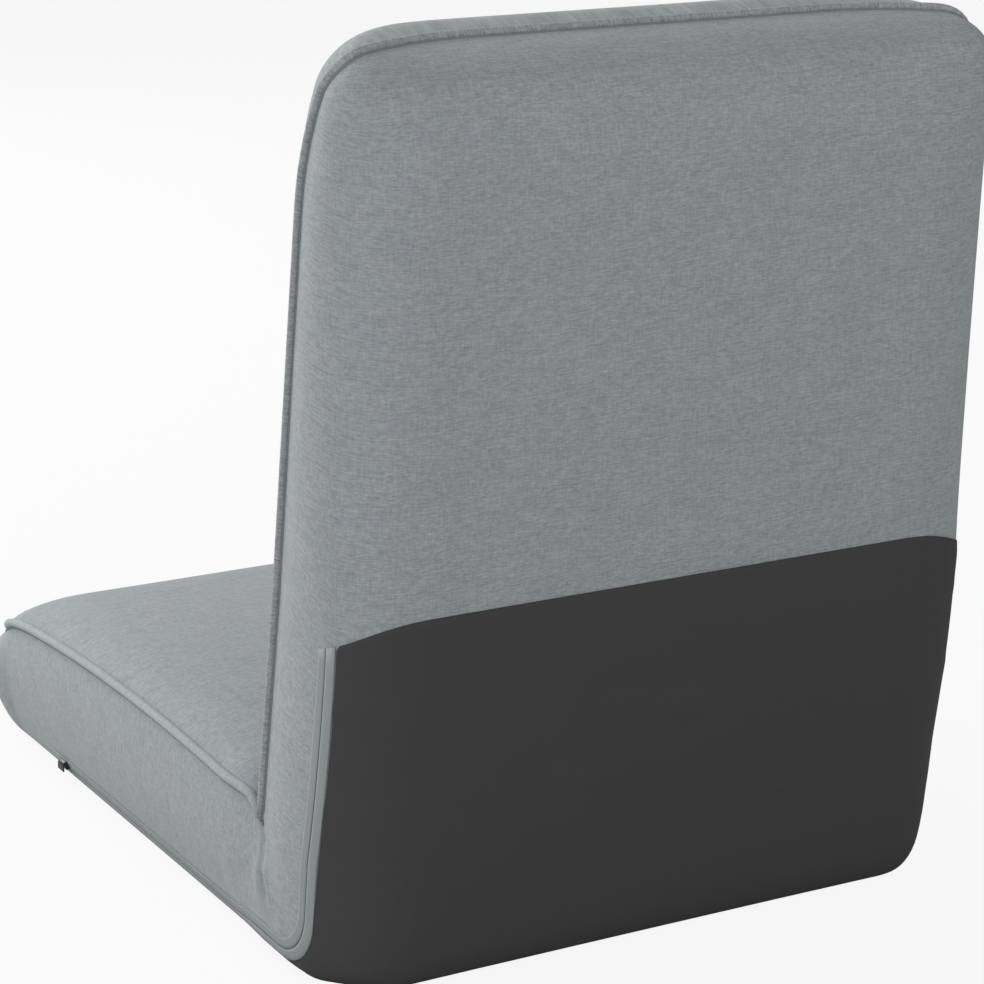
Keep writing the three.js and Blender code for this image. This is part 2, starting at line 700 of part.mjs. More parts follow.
const webReaches = Array.from({ length: WEB_COUNT }, (item, k) => WEB_FIRST + WEB_PITCH * k);

// Rivets and pins lie along X at a place in the side view
function rivet([y, z], radius, headRadius, innerHalf, centreX) {
  const profile = [
    [0, -innerHalf - HEAD_THICKNESS],
    [headRadius * Math.SQRT1_2, -innerHalf - HEAD_THICKNESS],
    [headRadius, -innerHalf],
    [radius, -innerHalf],
    [radius, innerHalf],
    [headRadius, innerHalf],
    [headRadius * Math.SQRT1_2, innerHalf + HEAD_THICKNESS],
    [0, innerHalf + HEAD_THICKNESS],
  ];
  const geometry = new THREE.LatheGeometry(profile.map(([r, h]) => new THREE.Vector2(r, h)), ROUND_SIDES);
  const turn = new THREE.Matrix4().makeRotationZ(-Math.PI / 2);
  return solidFrom(geometry, new THREE.Matrix4().makeTranslation(centreX, y, z).multiply(turn));
}

// Places in a hinge
const pivotAt = [PIVOT.y, PIVOT.z];
const pawlPinAt = [PIVOT.y - PAWL_PIN_FORWARD, PIVOT.z - PAWL_PIN_DOWN];
const seatRivetAt = [PIVOT.y - SEAT_RIVET_AT, PIVOT.z];
const backRivetAt = backFramePlace(0, BACK_RIVET_AT).slice(1);
const PAWL_ANGLE = THREE.MathUtils.degToRad(PAWL_ANGLE_DEGREES);
const NOTCH = THREE.MathUtils.degToRad(NOTCH_DEGREES);

// The cheek plates stand on both sides of the tubes and carry the pivot, the pawl and the seat tube
const cheekCircles = (margin) => [
  [pivotAt, CHEEK_RADIUS + margin],
  [[PIVOT.y - CHEEK_ARM, PIVOT.z], CHEEK_ARM_RADIUS + margin],
  [pawlPinAt, CHEEK_PAWL_RADIUS + margin],
];
function cheek(centreX, side) {
  const outline = hull(cheekCircles(0));
  const holes = [
    circle(pivotAt, PIVOT_RIVET_RADIUS + GAP),
    circle(pawlPinAt, PAWL_PIN_RADIUS + GAP),
    circle(seatRivetAt, TUBE_RIVET_RADIUS + GAP),
  ];
  const near = centreX + side * CHEEK_INNER;
  const far = centreX + side * CHEEK_OUTER;
  return prism(outline, Math.min(near, far), Math.max(near, far), holes);
}

// The toothed plate turns with the back; a notch meets the pawl at every stop
function ratchet(centreX) {
  const rim = [];
  const first = PAWL_ANGLE - NOTCHES_FORWARD * NOTCH;
  const notchCount = NOTCHES_FORWARD + NOTCHES_BACKWARD + 1;
  for (let k = 0; k < notchCount; k++) {
    const middle = first + k * NOTCH;
    rim.push(atPivot(RATCHET_RADIUS, middle - NOTCH / 2));
    rim.push(atPivot(RATCHET_RADIUS - TOOTH_DEPTH, middle));
  }
  const endAngle = first + (notchCount - 1 / 2) * NOTCH;
  rim.push(atPivot(RATCHET_RADIUS, endAngle));
  const lead = THREE.MathUtils.degToRad(TOOTH_LEAD_DEGREES);
  const startAngle = first - NOTCH / 2 + Math.PI * 2;
  for (let k = 0; k <= ROUND_SIDES / 2; k++) {
    const angle = lerp(endAngle + lead, startAngle - lead, (k * 2) / ROUND_SIDES);
    rim.push(atPivot(RATCHET_RADIUS - TOOTH_DEPTH, angle));
  }
  const from = centreX - RATCHET_THICKNESS / 2;
  const to = centreX + RATCHET_THICKNESS / 2;
  const half = RATCHET_ARM_WIDTH / 2;
  const along = [Math.sin(LEAN), Math.cos(LEAN)];
  const corner = (reach, offset) => [
    PIVOT.y + along[0] * reach + along[1] * offset,
    PIVOT.z + along[1] * reach - along[0] * offset,
  ];
  const armEnd = [corner(RATCHET_ARM_END, half), corner(RATCHET_ARM_END, -half)];
  const arm = [corner(0, half), ...armEnd, corner(0, -half)];
  const hub = prism(circle(pivotAt, HUB_RADIUS), centreX - CHEEK_INNER + GAP, centreX + CHEEK_INNER - GAP);
  const bore = prism(circle(pivotAt, PIVOT_RIVET_RADIUS + GAP), centreX - REACH, centreX + REACH);
  const hole = prism(circle(backRivetAt, TUBE_RIVET_RADIUS + GAP), centreX - REACH, centreX + REACH);
  return prism(rim, from, to).add(prism(arm, from, to)).add(hub).subtract(bore).subtract(hole);
}

// The pawl drops into a notch; its nose is the notch less its clearance
function pawl(centreX) {
  const nose = atPivot(RATCHET_RADIUS - TOOTH_DEPTH + GAP * 2, PAWL_ANGLE);
  const half = NOTCH / 2 - (GAP * 2) / RATCHET_RADIUS;
  const outer = RATCHET_RADIUS + GAP;
  const shoulderA = atPivot(outer, PAWL_ANGLE - half);
  const shoulderB = atPivot(outer, PAWL_ANGLE + half);
  const back = PAWL_BACK_WIDTH / outer;
  const heelA = atPivot(outer + PAWL_BACK_WIDTH, PAWL_ANGLE - back / 2);
  const heelB = atPivot(outer + PAWL_BACK_WIDTH, PAWL_ANGLE + back / 2);
  const tooth = [nose, shoulderA, heelA, heelB, shoulderB].reverse();
  const from = centreX - RATCHET_THICKNESS / 2;
  const to = centreX + RATCHET_THICKNESS / 2;
  const middle = atPivot(outer + PAWL_BACK_WIDTH / 2, PAWL_ANGLE);
  const arm = hull([[pawlPinAt, PAWL_HUB_RADIUS], [middle, PAWL_BACK_WIDTH / 2 - GAP]]);
  const clear = prism(circle(pivotAt, RATCHET_RADIUS + GAP, ROUND_SIDES * 2), from - OVERRUN, to + OVERRUN);
  const body = prism(arm, from, to).subtract(clear).add(prism(tooth, from, to));
  return body.subtract(prism(circle(pawlPinAt, PAWL_PIN_RADIUS + GAP), from - OVERRUN, to + OVERRUN));
}

// The pawl's torsion spring sits on the pin, between the pawl and the inner cheek
function pawlSpring(centreX, side) {
  const near = centreX - side * (RATCHET_THICKNESS / 2 + GAP);
  const far = near - side * SPRING_LENGTH;
  const hole = circle(pawlPinAt, PAWL_PIN_RADIUS + GAP);
  return prism(circle(pawlPinAt, SPRING_RADIUS), Math.min(near, far), Math.max(near, far), [hole]);
}

// Bores across X that take the tube rivets
const boreAt = (place, centreX) => {
  const half = TUBE_RADIUS + OVERRUN;
  return prism(circle(place, TUBE_RIVET_RADIUS + GAP), centreX - half, centreX + half);
};

// The space that both hinges need inside the foam
function hingeSpace() {
  const half = CHEEK_OUTER + HEAD_THICKNESS + HINGE_POCKET_MARGIN;
  const cheekSpace = hull(cheekCircles(HINGE_POCKET_MARGIN));
  const rivetSpace = TUBE_HEAD_RADIUS + HINGE_POCKET_MARGIN;
  return [1, -1].map((side) => {
    const centreX = side * FRAME_HALF_WIDTH;
    const disc = prism(circle(pivotAt, HINGE_POCKET_RADIUS, ROUND_SIDES * 2), centreX - half, centreX + half);
    const rear = hull([[pivotAt, rivetSpace], [backRivetAt, rivetSpace]]);
    const cheeks = prism(cheekSpace, centreX - half, centreX + half);
    return disc.add(cheeks).add(prism(rear, centreX - half, centreX + half));
  }).reduce((a, b) => a.add(b));
}

// Foam pads: the whole inside, less the frame's space, cut at the hinge lines and at the frame's plane
function addFoam() {
  const crossSpace = (place, reach) => {
    return tube(crossRun(place, reach, GAP), CROSS_TUBE_RADIUS + GAP, TUBE_SIDES);
  };
  const webSpace = (reach, isBack) => webSolid(reach, WEB_WIDTH + GAP * 2, isBack, [webOuter + GAP]);
  let foam = innerBody(CLOTH + GAP + FOAM_EASE);
  foam = foam.subtract(hingeSpace()).subtract(seatBores).subtract(backBores);
  foam = foam.subtract(crossSpace(seatFramePlace, SEAT_CROSS_FROM_PIVOT));
  foam = foam.subtract(crossSpace(backFramePlace, BACK_CROSS_FROM_PIVOT));
  webReaches.forEach((reach) => {
    foam = foam.subtract(webSpace(reach, false)).subtract(webSpace(reach, true));
  });
  const level = (z0, z1) => prism([[-REACH, z0], [REACH, z0], [REACH, z1], [-REACH, z1]], -REACH, REACH);
  const seatSide = inSector(foam, 'seat');
  add('seat_foam_upper', seatSide.intersect(level(PIVOT.z + GAP / 2, REACH)), 'foam');
  add('seat_foam_lower', seatSide.intersect(level(-REACH, PIVOT.z - GAP / 2)), 'foam');
  const backSide = inSector(foam, 'back');
  const depth = (t0, t1) => {
    const corners = [[-REACH, t0], [-REACH, t1], [REACH, t1], [REACH, t0]];
    return prism(corners.map(([s, t]) => backPad.place(0, s, t).slice(1)), -REACH, REACH);
  };
  add('back_foam_front', backSide.intersect(depth(-REACH, BACK_FRAME_DEPTH - GAP / 2)), 'foam');
  add('back_foam_rear', backSide.intersect(depth(BACK_FRAME_DEPTH + GAP / 2, REACH)), 'foam');
  add('crease_foam', inSector(foam, 'crease'), 'foam');
  add('heel_foam', inSector(foam, 'heel'), 'foam');
}

// Cover panels, the welt and the zip
function addCover() {
  const front = frontSheet();
  add('seat_top_panel', inSector(front, 'seat'), 'cloth');
  add('crease_panel', inSector(front, 'crease'), 'cloth');
  add('back_front_panel', inSector(front, 'back'), 'cloth');

  const zipSpace = zipStrip(-CLOTH, TAPE_HIGH + GAP, GAP, CLOTH, CLOTH * 2);
  const band = bandSheet().subtract(zipSpace);
  add('seat_side_band', inSector(band, 'seat'), 'cloth');
  add('back_side_band', inSector(band, 'back'), 'cloth');
  add('crease_gusset_left', leftHalf(band, 'crease'), 'cloth');
  add('crease_gusset_right', rightHalf(band, 'crease'), 'cloth');
  add('heel_gusset_left', leftHalf(band, 'heel'), 'cloth');
  add('heel_gusset_right', rightHalf(band, 'heel'), 'cloth');

  const rear = rearSheet();
  add('seat_base_panel', inSector(rear, 'seat'), 'base');
  add('heel_panel', inSector(rear, 'heel'), 'base');
  const rearBack = inSector(rear, 'back');
  add('back_lower_panel', rearBack.intersect(belowSeam(-GAP / 2, false)), 'base');
  add('back_upper_panel', rearBack.intersect(belowSeam(GAP / 2, true)), 'cloth');

  const loop = [];
  stations.forEach((station) => {
    const point = bandPoint(station, 0, -WELT_STAND, -WELT_STAND);
    const before = loop[loop.length - 1];
    if (before && point.every((value, axis) => Math.abs(value - before[axis]) < MERGE_DISTANCE)) return;
    loop.push(point);
  });
  const welt = tube(loop, WELT_RADIUS, WELT_SIDES, 0, true);
  add('seat_piping', inSector(welt, 'seat'), 'welt');
  add('back_piping', inSector(welt, 'back'), 'welt');
  add('crease_piping_left', leftHalf(welt, 'crease'), 'welt');
  add('crease_piping_right', rightHalf(welt, 'crease'), 'welt');

  const lower = zipStrip(TAPE_LOW, TAPE_MIDDLE, 0, 0, ZIP_TAPE_THICKNESS);
  const upper = zipStrip(TAPE_UPPER, TAPE_HIGH, 0, 0, ZIP_TAPE_THICKNESS);
  ['seat', 'heel', 'back'].forEach((name) => {
    add(name + '_zip_lower_tape', inSector(lower, name), 'tape');
    add(name + '_zip_upper_tape', inSector(upper, name), 'tape');
  });
}

// The dark panel's upper edge is arched: level in the middle and lower towards the sides
function belowSeam(offset, isAbove) {
  const edge = [];
  const half = HALF_WIDTH + OVERRUN;
  for (let k = -TOP_EDGE_STEPS; k <= TOP_EDGE_STEPS; k++) {
    const x = half * Math.sign(k) * Math.sqrt(Math.abs(k) / TOP_EDGE_STEPS);
    const fall = Math.max((Math.abs(x) - HALF_WIDTH + DARK_PANEL_DROP_WIDTH) / DARK_PANEL_DROP_WIDTH, 0);
    edge.push(new THREE.Vector2(x, DARK_PANEL_TOP - DARK_PANEL_DROP * fall * fall + offset));
  }
  const limit = isAbove ? REACH : -REACH;
  edge.push(new THREE.Vector2(half, limit), new THREE.Vector2(-half, limit));
  if (isAbove) edge.reverse();
  const geometry = new THREE.ExtrudeGeometry(new THREE.Shape(edge), { depth: REACH, bevelEnabled: false });
  const basis = new THREE.Matrix4().makeBasis(
    new THREE.Vector3(1, 0, 0),
    new THREE.Vector3(...backPad.along),
    new THREE.Vector3(0, -Math.cos(LEAN), Math.sin(LEAN)),
  );
  const start = new THREE.Matrix4().makeTranslation(...backPad.place(0, 0, REACH / 2));
  return solidFrom(geometry, start.multiply(basis));
}

// The zip's slider and its pull lie on the left side near the front end
function addSlider() {
  const station = seatStation(ZIP_FRONT - SLIDER_FROM_ZIP_END);
  const onBand = (distance) => bandPoint(station, 1 - distance / bandLength(station));
  const [, y, z] = onBand(TAPE_MIDDLE + ZIP_GROOVE / 2);
  const face = onBand(TAPE_MIDDLE + (ZIP_GROOVE + SLIDER_HEIGHT) / 2)[0] + GAP;
  const box = (fromY, toY, halfHeight, fromX, toX) => {
    const [z0, z1] = [z - halfHeight, z + halfHeight];
    return prism([[fromY, z0], [toY, z0], [toY, z1], [fromY, z1]], fromX, toX);
  };
  const centred = (length, height, fromX, toX) => box(y - length / 2, y + length / 2, height / 2, fromX, toX);
  const top = face + SLIDER_THICKNESS;
  const bridgeUnder = top + PULL_THICKNESS + GAP * 2;
  const bridge = centred(BRIDGE_LENGTH, BRIDGE_HEIGHT, top, bridgeUnder + BRIDGE_THICKNESS)
    .subtract(centred(BRIDGE_LENGTH - BRIDGE_POST * 2, SLIDER_HEIGHT, top, bridgeUnder));
  add('zip_slider', centred(SLIDER_LENGTH, SLIDER_HEIGHT, face, top).add(bridge), 'slider');

  const bar = PULL_THICKNESS / 2;
  const pullFrom = top + GAP;
  const pullTo = pullFrom + PULL_THICKNESS;
  const tab = box(y - bar, y - bar + PULL_LENGTH, PULL_HEIGHT / 2, pullFrom, pullTo);
  const eye = box(y + bar, y + bar + PULL_EYE_LENGTH, BRIDGE_HEIGHT / 2 + GAP, pullFrom - GAP, pullTo + GAP);
  add('zip_pull', tab.subtract(eye), 'slider');
}

// Frame, webbing and hinges
function addFrame() {
  const sides = [1, -1];
  let seatTube = tube(seatRun, TUBE_RADIUS, TUBE_SIDES, TUBE_WALL);
  let backTube = tube(backRun, TUBE_RADIUS, TUBE_SIDES, TUBE_WALL);
  sides.forEach((side) => {
    seatTube = seatTube.subtract(boreAt(seatRivetAt, side * FRAME_HALF_WIDTH));
    backTube = backTube.subtract(boreAt(backRivetAt, side * FRAME_HALF_WIDTH));
  });
  add('seat_frame_tube', seatTube, 'steel');
  add('back_frame_tube', backTube, 'steel');
  add('seat_cross_tube', tube(seatCross, CROSS_TUBE_RADIUS, TUBE_SIDES, TUBE_WALL), 'steel');
  add('back_cross_tube', tube(backCross, CROSS_TUBE_RADIUS, TUBE_SIDES, TUBE_WALL), 'steel');
  webReaches.forEach((reach, k) => {
    add('seat_webbing_' + (k + 1), webSolid(reach, WEB_WIDTH, false, [webOuter, webRadius]), 'web');
    add('back_webbing_' + (k + 1), webSolid(reach, WEB_WIDTH, true, [webOuter, webRadius]), 'web');
  });
  sides.forEach((side) => {
    const name = side > 0 ? 'left' : 'right';
    const x = side * FRAME_HALF_WIDTH;
    add(name + '_outer_cheek', cheek(x, side), 'zinc');
    add(name + '_inner_cheek', cheek(x, -side), 'zinc');
    add(name + '_ratchet_plate', ratchet(x), 'zinc');
    add(name + '_pawl', pawl(x), 'zinc');
    add(name + '_pawl_spring', pawlSpring(x, side), 'zinc');
    const outside = CHEEK_OUTER + GAP;
    const addRivet = (end, place, radius, headRadius, half) => {
      add(name + end, rivet(place, radius, headRadius, half, x), 'zinc');
    };
    addRivet('_pawl_pin', pawlPinAt, PAWL_PIN_RADIUS, PAWL_PIN_HEAD_RADIUS, outside);
    addRivet('_pivot_rivet', pivotAt, PIVOT_RIVET_RADIUS, PIVOT_HEAD_RADIUS, outside);
    addRivet('_seat_tube_rivet', seatRivetAt, TUBE_RIVET_RADIUS, TUBE_HEAD_RADIUS, outside);
    addRivet('_back_tube_rivet', backRivetAt, TUBE_RIVET_RADIUS, TUBE_HEAD_RADIUS, TUBE_RADIUS + GAP);
  });
}

addFrame();
addFoam();
addCover();
addSlider();

// The origin lies under the middle of the whole chair
const box = new THREE.Box3().setFromObject(group);
const shift = -(box.min.y + box.max.y) / 2;
group.children.forEach((mesh) => mesh.geometry.translate(0, shift, 0));

export default group;
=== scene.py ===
"""Folding floor chair in light grey woven cloth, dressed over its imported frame."""

import json
import math

import bpy
import numpy as np
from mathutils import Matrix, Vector, noise


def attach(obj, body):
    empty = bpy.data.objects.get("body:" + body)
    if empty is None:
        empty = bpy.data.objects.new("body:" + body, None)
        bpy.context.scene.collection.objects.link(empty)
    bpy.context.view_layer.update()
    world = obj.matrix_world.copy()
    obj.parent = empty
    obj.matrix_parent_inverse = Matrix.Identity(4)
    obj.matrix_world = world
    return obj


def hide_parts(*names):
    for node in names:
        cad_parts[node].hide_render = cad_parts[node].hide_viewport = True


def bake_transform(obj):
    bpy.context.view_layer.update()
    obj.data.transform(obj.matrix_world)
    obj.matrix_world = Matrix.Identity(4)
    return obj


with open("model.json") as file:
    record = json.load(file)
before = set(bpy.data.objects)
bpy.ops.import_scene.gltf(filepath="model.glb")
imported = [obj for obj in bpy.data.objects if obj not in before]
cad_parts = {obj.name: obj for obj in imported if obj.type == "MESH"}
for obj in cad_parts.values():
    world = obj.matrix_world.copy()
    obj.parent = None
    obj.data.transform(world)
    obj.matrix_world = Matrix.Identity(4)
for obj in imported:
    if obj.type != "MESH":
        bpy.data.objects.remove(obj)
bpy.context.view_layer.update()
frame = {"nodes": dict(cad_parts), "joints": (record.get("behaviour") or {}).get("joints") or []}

MM = 0.001

# Sizes are in millimetres. A crown is how far a face swells, a droop how far its corners sink, an
# overhang how far its far end leans out past the piping, a tuck how far the rear rim is drawn in,
# and a rim how far that edge lies in front of the rear face. A fullness under 1 squares a bulge.

# The seat cushion
HALF_WIDTH = 250
CORNER_RADIUS = 27
SEAT_LENGTH = 500
CREASE_HEIGHT = 106
SEAT_ARCH = 10
SEAT_CROWN = 15
SEAT_END_REACH = 42
SEAT_DROOP = 6
SEAT_DROOP_REACH = 81
SEAT_PINCH_LENGTH = 50
SEAT_FRONT_DROP = 5
SEAT_FRONT_OVERHANG = 2
SEAT_FRONT_SAG = 4
SEAT_FRONT_FALL = 12
SEAT_FRONT_RIM = 4
SEAT_FRONT_TUCK = 12
SEAT_FRONT_BULGE = 43
SEAT_FRONT_FULLNESS = 0.37
SEAT_TURN_LENGTH = 60
SEAT_ZIP_HEIGHT = 1
SEAT_SIDE_TUCK = 14
SEAT_SIDE_BULGE = 10.5
SEAT_SIDE_FULLNESS = 0.35

# The back cushion
LEAN = math.radians(9.3)
BACK_LENGTH = 526
BACK_FOOT_THICKNESS = 116
BACK_TOP_THICKNESS = 72
BACK_FRAME_DEPTH = 36
TOP_NARROWING = 10
BACK_CROWN = 48
BACK_CROWN_GROWTH = 1.1
BACK_END_REACH = 24
BACK_END_SQUARENESS = 4
BACK_DROOP = 30
BACK_DROOP_REACH = 104
BACK_PINCH_LENGTH = 450
BACK_TOP_OVERHANG = 4
BACK_TOP_FALL = 2
BACK_TOP_TUCK = 14
BACK_TOP_BULGE = 4
BACK_RIM = 17
BACK_TUCK = 4.5
BACK_TUCK_LENGTH = 300
BACK_SIDE_BULGE = 6

# What both cushions share
EDGE_REACH = 60
FALL_REACH = 40
SAG_SQUARENESS = 4
OVERHANG_SKEW = 1.5
WELT_PINCH = 4.2
WELT_PINCH_SPREAD = 1.55
SIDE_TUCK = 4
SIDE_BULGE = 6.5
SIDE_FULLNESS = 0.5

# The crease, and the heel that turns round the fold below it
CREASE_ROUNDING = 40
CREASE_DIP = 10
CREASE_DIP_LENGTH = 25
CREASE_DIP_SHARPNESS = 8
PIVOT_Z = 58
HEEL_RADIUS = 50
HEEL_POWER = 12
# The rear corner is a quarter of an oval that the rim line lies on, and is tighter underneath
CORNER_ACROSS = 64
UNDER_ACROSS = 14
CORNER_ANGLE = math.radians(30.5)
UNDER_SHARE = 0.32
WIDENING_SHARE = 0.4

# The dark lower cloth's upper edge, which falls at the sides
DARK_TOP = 177
DARK_DROP = 22
DARK_DROP_WIDTH = 64
DARK_DROP_REACH = 120
BASE_THICKNESS = 1.4

# The piping, and below it a thin dark cord along the seam that paints the shadow in the gap under the piping
PIPING_RADIUS = 3.3
PIPING_STAND = 1.0
PIPING_SIDES = 10
SHADOW_CORD_RADIUS = 1.2
SHADOW_CORD_SIDES = 6
SHADOW_CORD_BELOW_PIPING = 3.2
CORD_STEP = 1.0

# The zip's tapes, slider and pull
ZIP_TOP = 160
ZIP_FRONT = 398
ZIP_EDGE = 0.6
ZIP_TOP_SLANT = 0.65
TAPE_WIDTH = 7.7
TAPE_GROOVE = 1.1
TAPE_THICKNESS = 0.8
TAPE_LIFT = 0.5
TAPE_COLUMNS = 5
SLIDER_FROM_FRONT = 22
SLIDER_UP = 12
SLIDER_TILT = math.radians(25)
SLIDER_LENGTH = 10
SLIDER_HEIGHT = 7
SLIDER_THICKNESS = 5.5
SLIDER_OUT_SHARE = 0.25
SLIDER_EDGE = 0.9
LOOP_RADIUS = 2.6
LOOP_WIRE = 0.55
PULL_LENGTH = 12
PULL_INSET = 2.5
PULL_HEIGHT = 6
PULL_THICKNESS = 0.9
PULL_EDGE = 0.25
PULL_EYE_RADIUS = 1.7
EDGE_ANGLE = math.radians(35)

# How finely the cushions are drawn, as counts and as shares of a side
STRAIGHT_STEPS = 50
TURN_STEPS = 10
FAN_STEPS = 18
ROW_GAP = 2
COLUMN_STEPS = 27
EVEN_SHARE = 0.93
EDGE_SHARES = [0.955, 0.975, 0.99, 1.0]
BAND_SHARES = [0, 0.03, 0.08, 0.15, 0.23, 0.32, 0.41, 0.5, 0.59, 0.68, 0.76, 0.83, 0.89, 0.94, 0.98, 1]



def joint_place(name):
    return next(joint["pos_m"] for joint in frame["joints"] if joint["name"] == name)


FOLD_AT = joint_place("back_fold")
PULL_HINGE = joint_place("zip_pull_swing")
PIVOT_Y = (BACK_FRAME_DEPTH - (CREASE_HEIGHT - PIVOT_Z) * math.sin(LEAN)) / math.cos(LEAN)
SHIFT_Y = FOLD_AT[1] / MM - PIVOT_Y
TAPER = math.atan((BACK_FOOT_THICKNESS - BACK_TOP_THICKNESS) / BACK_LENGTH)
HEEL_START = math.radians(270)
HEEL_END = math.radians(360) - LEAN


def lerp(a, b, k):
    return a + (b - a) * k


def clamped(v):
    return min(max(v, 0.0), 1.0)


def swell(v):
    """A rise that starts steep and ends level."""
    return math.sin(math.pi / 2 * clamped(v))


def ease(v):
    """A rise that starts and ends level."""
    return v * v * (3 - 2 * v)


def rounded(v, squareness=2):
    """A quarter circle's height, or a squarer one's: steep at the welt and level at the crown."""
    return (1 - (1 - clamped(v)) ** squareness) ** (1 / squareness)


# Seat and Back are used without instances. In them s runs along a cushion from the crease, t is how
# deep a point lies below the plane of the face, and end goes from 0 at the sides to 1 at the far end.
class Seat:
    """The shape of the cushion on the floor."""

    length = SEAT_LENGTH
    peak = 1 / (1 + math.sqrt(1 + SEAT_FRONT_DROP / SEAT_ARCH))
    overhang = SEAT_FRONT_OVERHANG
    droop = SEAT_DROOP
    droop_reach = SEAT_DROOP_REACH
    end_reach = SEAT_END_REACH
    squareness = 2
    sag = SEAT_FRONT_SAG
    fall = SEAT_FRONT_FALL
    pinch_length = SEAT_PINCH_LENGTH
    fullness = SEAT_FRONT_FULLNESS
    along = np.array([0, -1, 0])

    def half(s):
        return HALF_WIDTH

    def crown(s):
        return SEAT_CROWN

    def front(s):
        share = s / SEAT_LENGTH / Seat.peak
        return -SEAT_ARCH * share * (2 - share)

    def rear(s):
        return CREASE_HEIGHT

    def under(s):
        """How far the side has turned under the seat."""
        return min(s / SEAT_TURN_LENGTH, 1)

    def rim(s, end):
        side = lerp(PIVOT_Z - HEEL_RADIUS, SEAT_ZIP_HEIGHT, Seat.under(s))
        return lerp(side, SEAT_FRONT_RIM, end)

    def bulge(s, end):
        return lerp(lerp(SIDE_BULGE, SEAT_SIDE_BULGE, Seat.under(s)), SEAT_FRONT_BULGE, end)

    def tuck(s, end):
        return lerp(lerp(SIDE_TUCK, SEAT_SIDE_TUCK, Seat.under(s)), SEAT_FRONT_TUCK, end)

    def low_fullness(s):
        return lerp(SIDE_FULLNESS, SEAT_SIDE_FULLNESS, Seat.under(s))

    def place(x, s, t):
        return np.array([x, -s, CREASE_HEIGHT - t])


class Back:
    """The shape of the cushion that leans back."""

    length = BACK_LENGTH
    overhang = BACK_TOP_OVERHANG
    droop = BACK_DROOP
    droop_reach = BACK_DROOP_REACH
    end_reach = BACK_END_REACH
    squareness = BACK_END_SQUARENESS
    sag = 0
    fall = BACK_TOP_FALL
    pinch_length = BACK_PINCH_LENGTH
    fullness = 1
    along = np.array([0, math.sin(LEAN), math.cos(LEAN)])

    def half(s):
        return HALF_WIDTH - TOP_NARROWING * s / BACK_LENGTH

    def crown(s):
        return lerp(SEAT_CROWN, BACK_CROWN, min(s / BACK_LENGTH * BACK_CROWN_GROWTH, 1))

    def front(s):
        return 0

    def rear(s):
        return lerp(BACK_FOOT_THICKNESS, BACK_TOP_THICKNESS, s / BACK_LENGTH)

    def rim(s, end):
        foot = BACK_FOOT_THICKNESS - BACK_FRAME_DEPTH - HEEL_RADIUS - BACK_RIM
        return BACK_RIM + foot * max(1 - s / ZIP_TOP, 0) ** 2

    def bulge(s, end):
        side = lerp(SIDE_BULGE, BACK_SIDE_BULGE, min(s / ZIP_TOP, 1))
        return lerp(side, BACK_TOP_BULGE, end)

    def tuck(s, end):
        side = lerp(SIDE_TUCK, BACK_TUCK, min(s / BACK_TUCK_LENGTH, 1))
        return lerp(side, BACK_TOP_TUCK, end)

    def low_fullness(s):
        return SIDE_FULLNESS

    def place(x, s, t):
        y = s * math.sin(LEAN) + t * math.cos(LEAN)
        return np.array([x, y, CREASE_HEIGHT + s * math.cos(LEAN) - t * math.sin(LEAN)])


def back_of(y, z):
    """The back cushion's s and t at a place in the side view."""
    up = z - CREASE_HEIGHT
    return (
        y * math.sin(LEAN) + up * math.cos(LEAN),
        y * math.cos(LEAN) - up * math.sin(LEAN),
    )


class Row:
    """A line across the chair, in the seat, in the back or fanned out round the heel."""

    def __init__(self, pad=None, s=0.0, turn=0.0, last=False, edge=None, outer=None, wide=0.0):
        self.pad, self.s, self.turn, self.last = pad, s, turn, last
        self.edge, self.outer, self.wide = edge, outer, wide
        self.fan = pad is None
        self.arc = 0.0


def pad_rows(pad, stops):
    """Rows from the crease to the far corners, with one on each stop, then round the corners."""
    straight = pad.length - CORNER_RADIUS
    places = sorted(set([straight * k / STRAIGHT_STEPS for k in range(STRAIGHT_STEPS + 1)] + stops))
    kept = [places[0]]
    for s in places[1:]:
        if s - kept[-1] > ROW_GAP or s == straight:
            kept.append(s)
        elif s in stops:
            kept[-1] = s
    rows = [Row(pad, s) for s in kept]
    for k in range(1, TURN_STEPS + 1):
        rows.append(Row(pad, straight, math.pi / 2 * k / TURN_STEPS, k == TURN_STEPS))
    return rows


def heel_rows():
    """Rows round the fold, from the rim of the side cloth out to the dark cloth."""
    low = PIVOT_Z - HEEL_RADIUS
    rows = [Row(edge=(PIVOT_Y / 2, low), outer=(PIVOT_Y / 2, 0.0), wide=UNDER_ACROSS)]
    foot = Back.rear(back_of(PIVOT_Y, PIVOT_Z)[0])
    to_rear = (foot - BACK_FRAME_DEPTH) * math.cos(TAPER)
    rear_normal = HEEL_END + TAPER

    def at(angle, radius):
        return PIVOT_Y + radius * math.cos(angle), PIVOT_Z + radius * math.sin(angle)

    for k in range(FAN_STEPS + 1):
        angle = lerp(HEEL_START, HEEL_END, k / FAN_STEPS)
        down = max(-math.sin(angle), 0) / PIVOT_Z
        behind = max(math.cos(angle - rear_normal), 0) / to_rear
        reach = (down**HEEL_POWER + behind**HEEL_POWER) ** (-1 / HEEL_POWER)
        turned = ease(clamped((k / FAN_STEPS - UNDER_SHARE) / WIDENING_SHARE))
        wide = lerp(UNDER_ACROSS, CORNER_ACROSS, turned)
        rows.append(Row(edge=at(angle, HEEL_RADIUS), outer=at(angle, reach), wide=wide))
    return rows


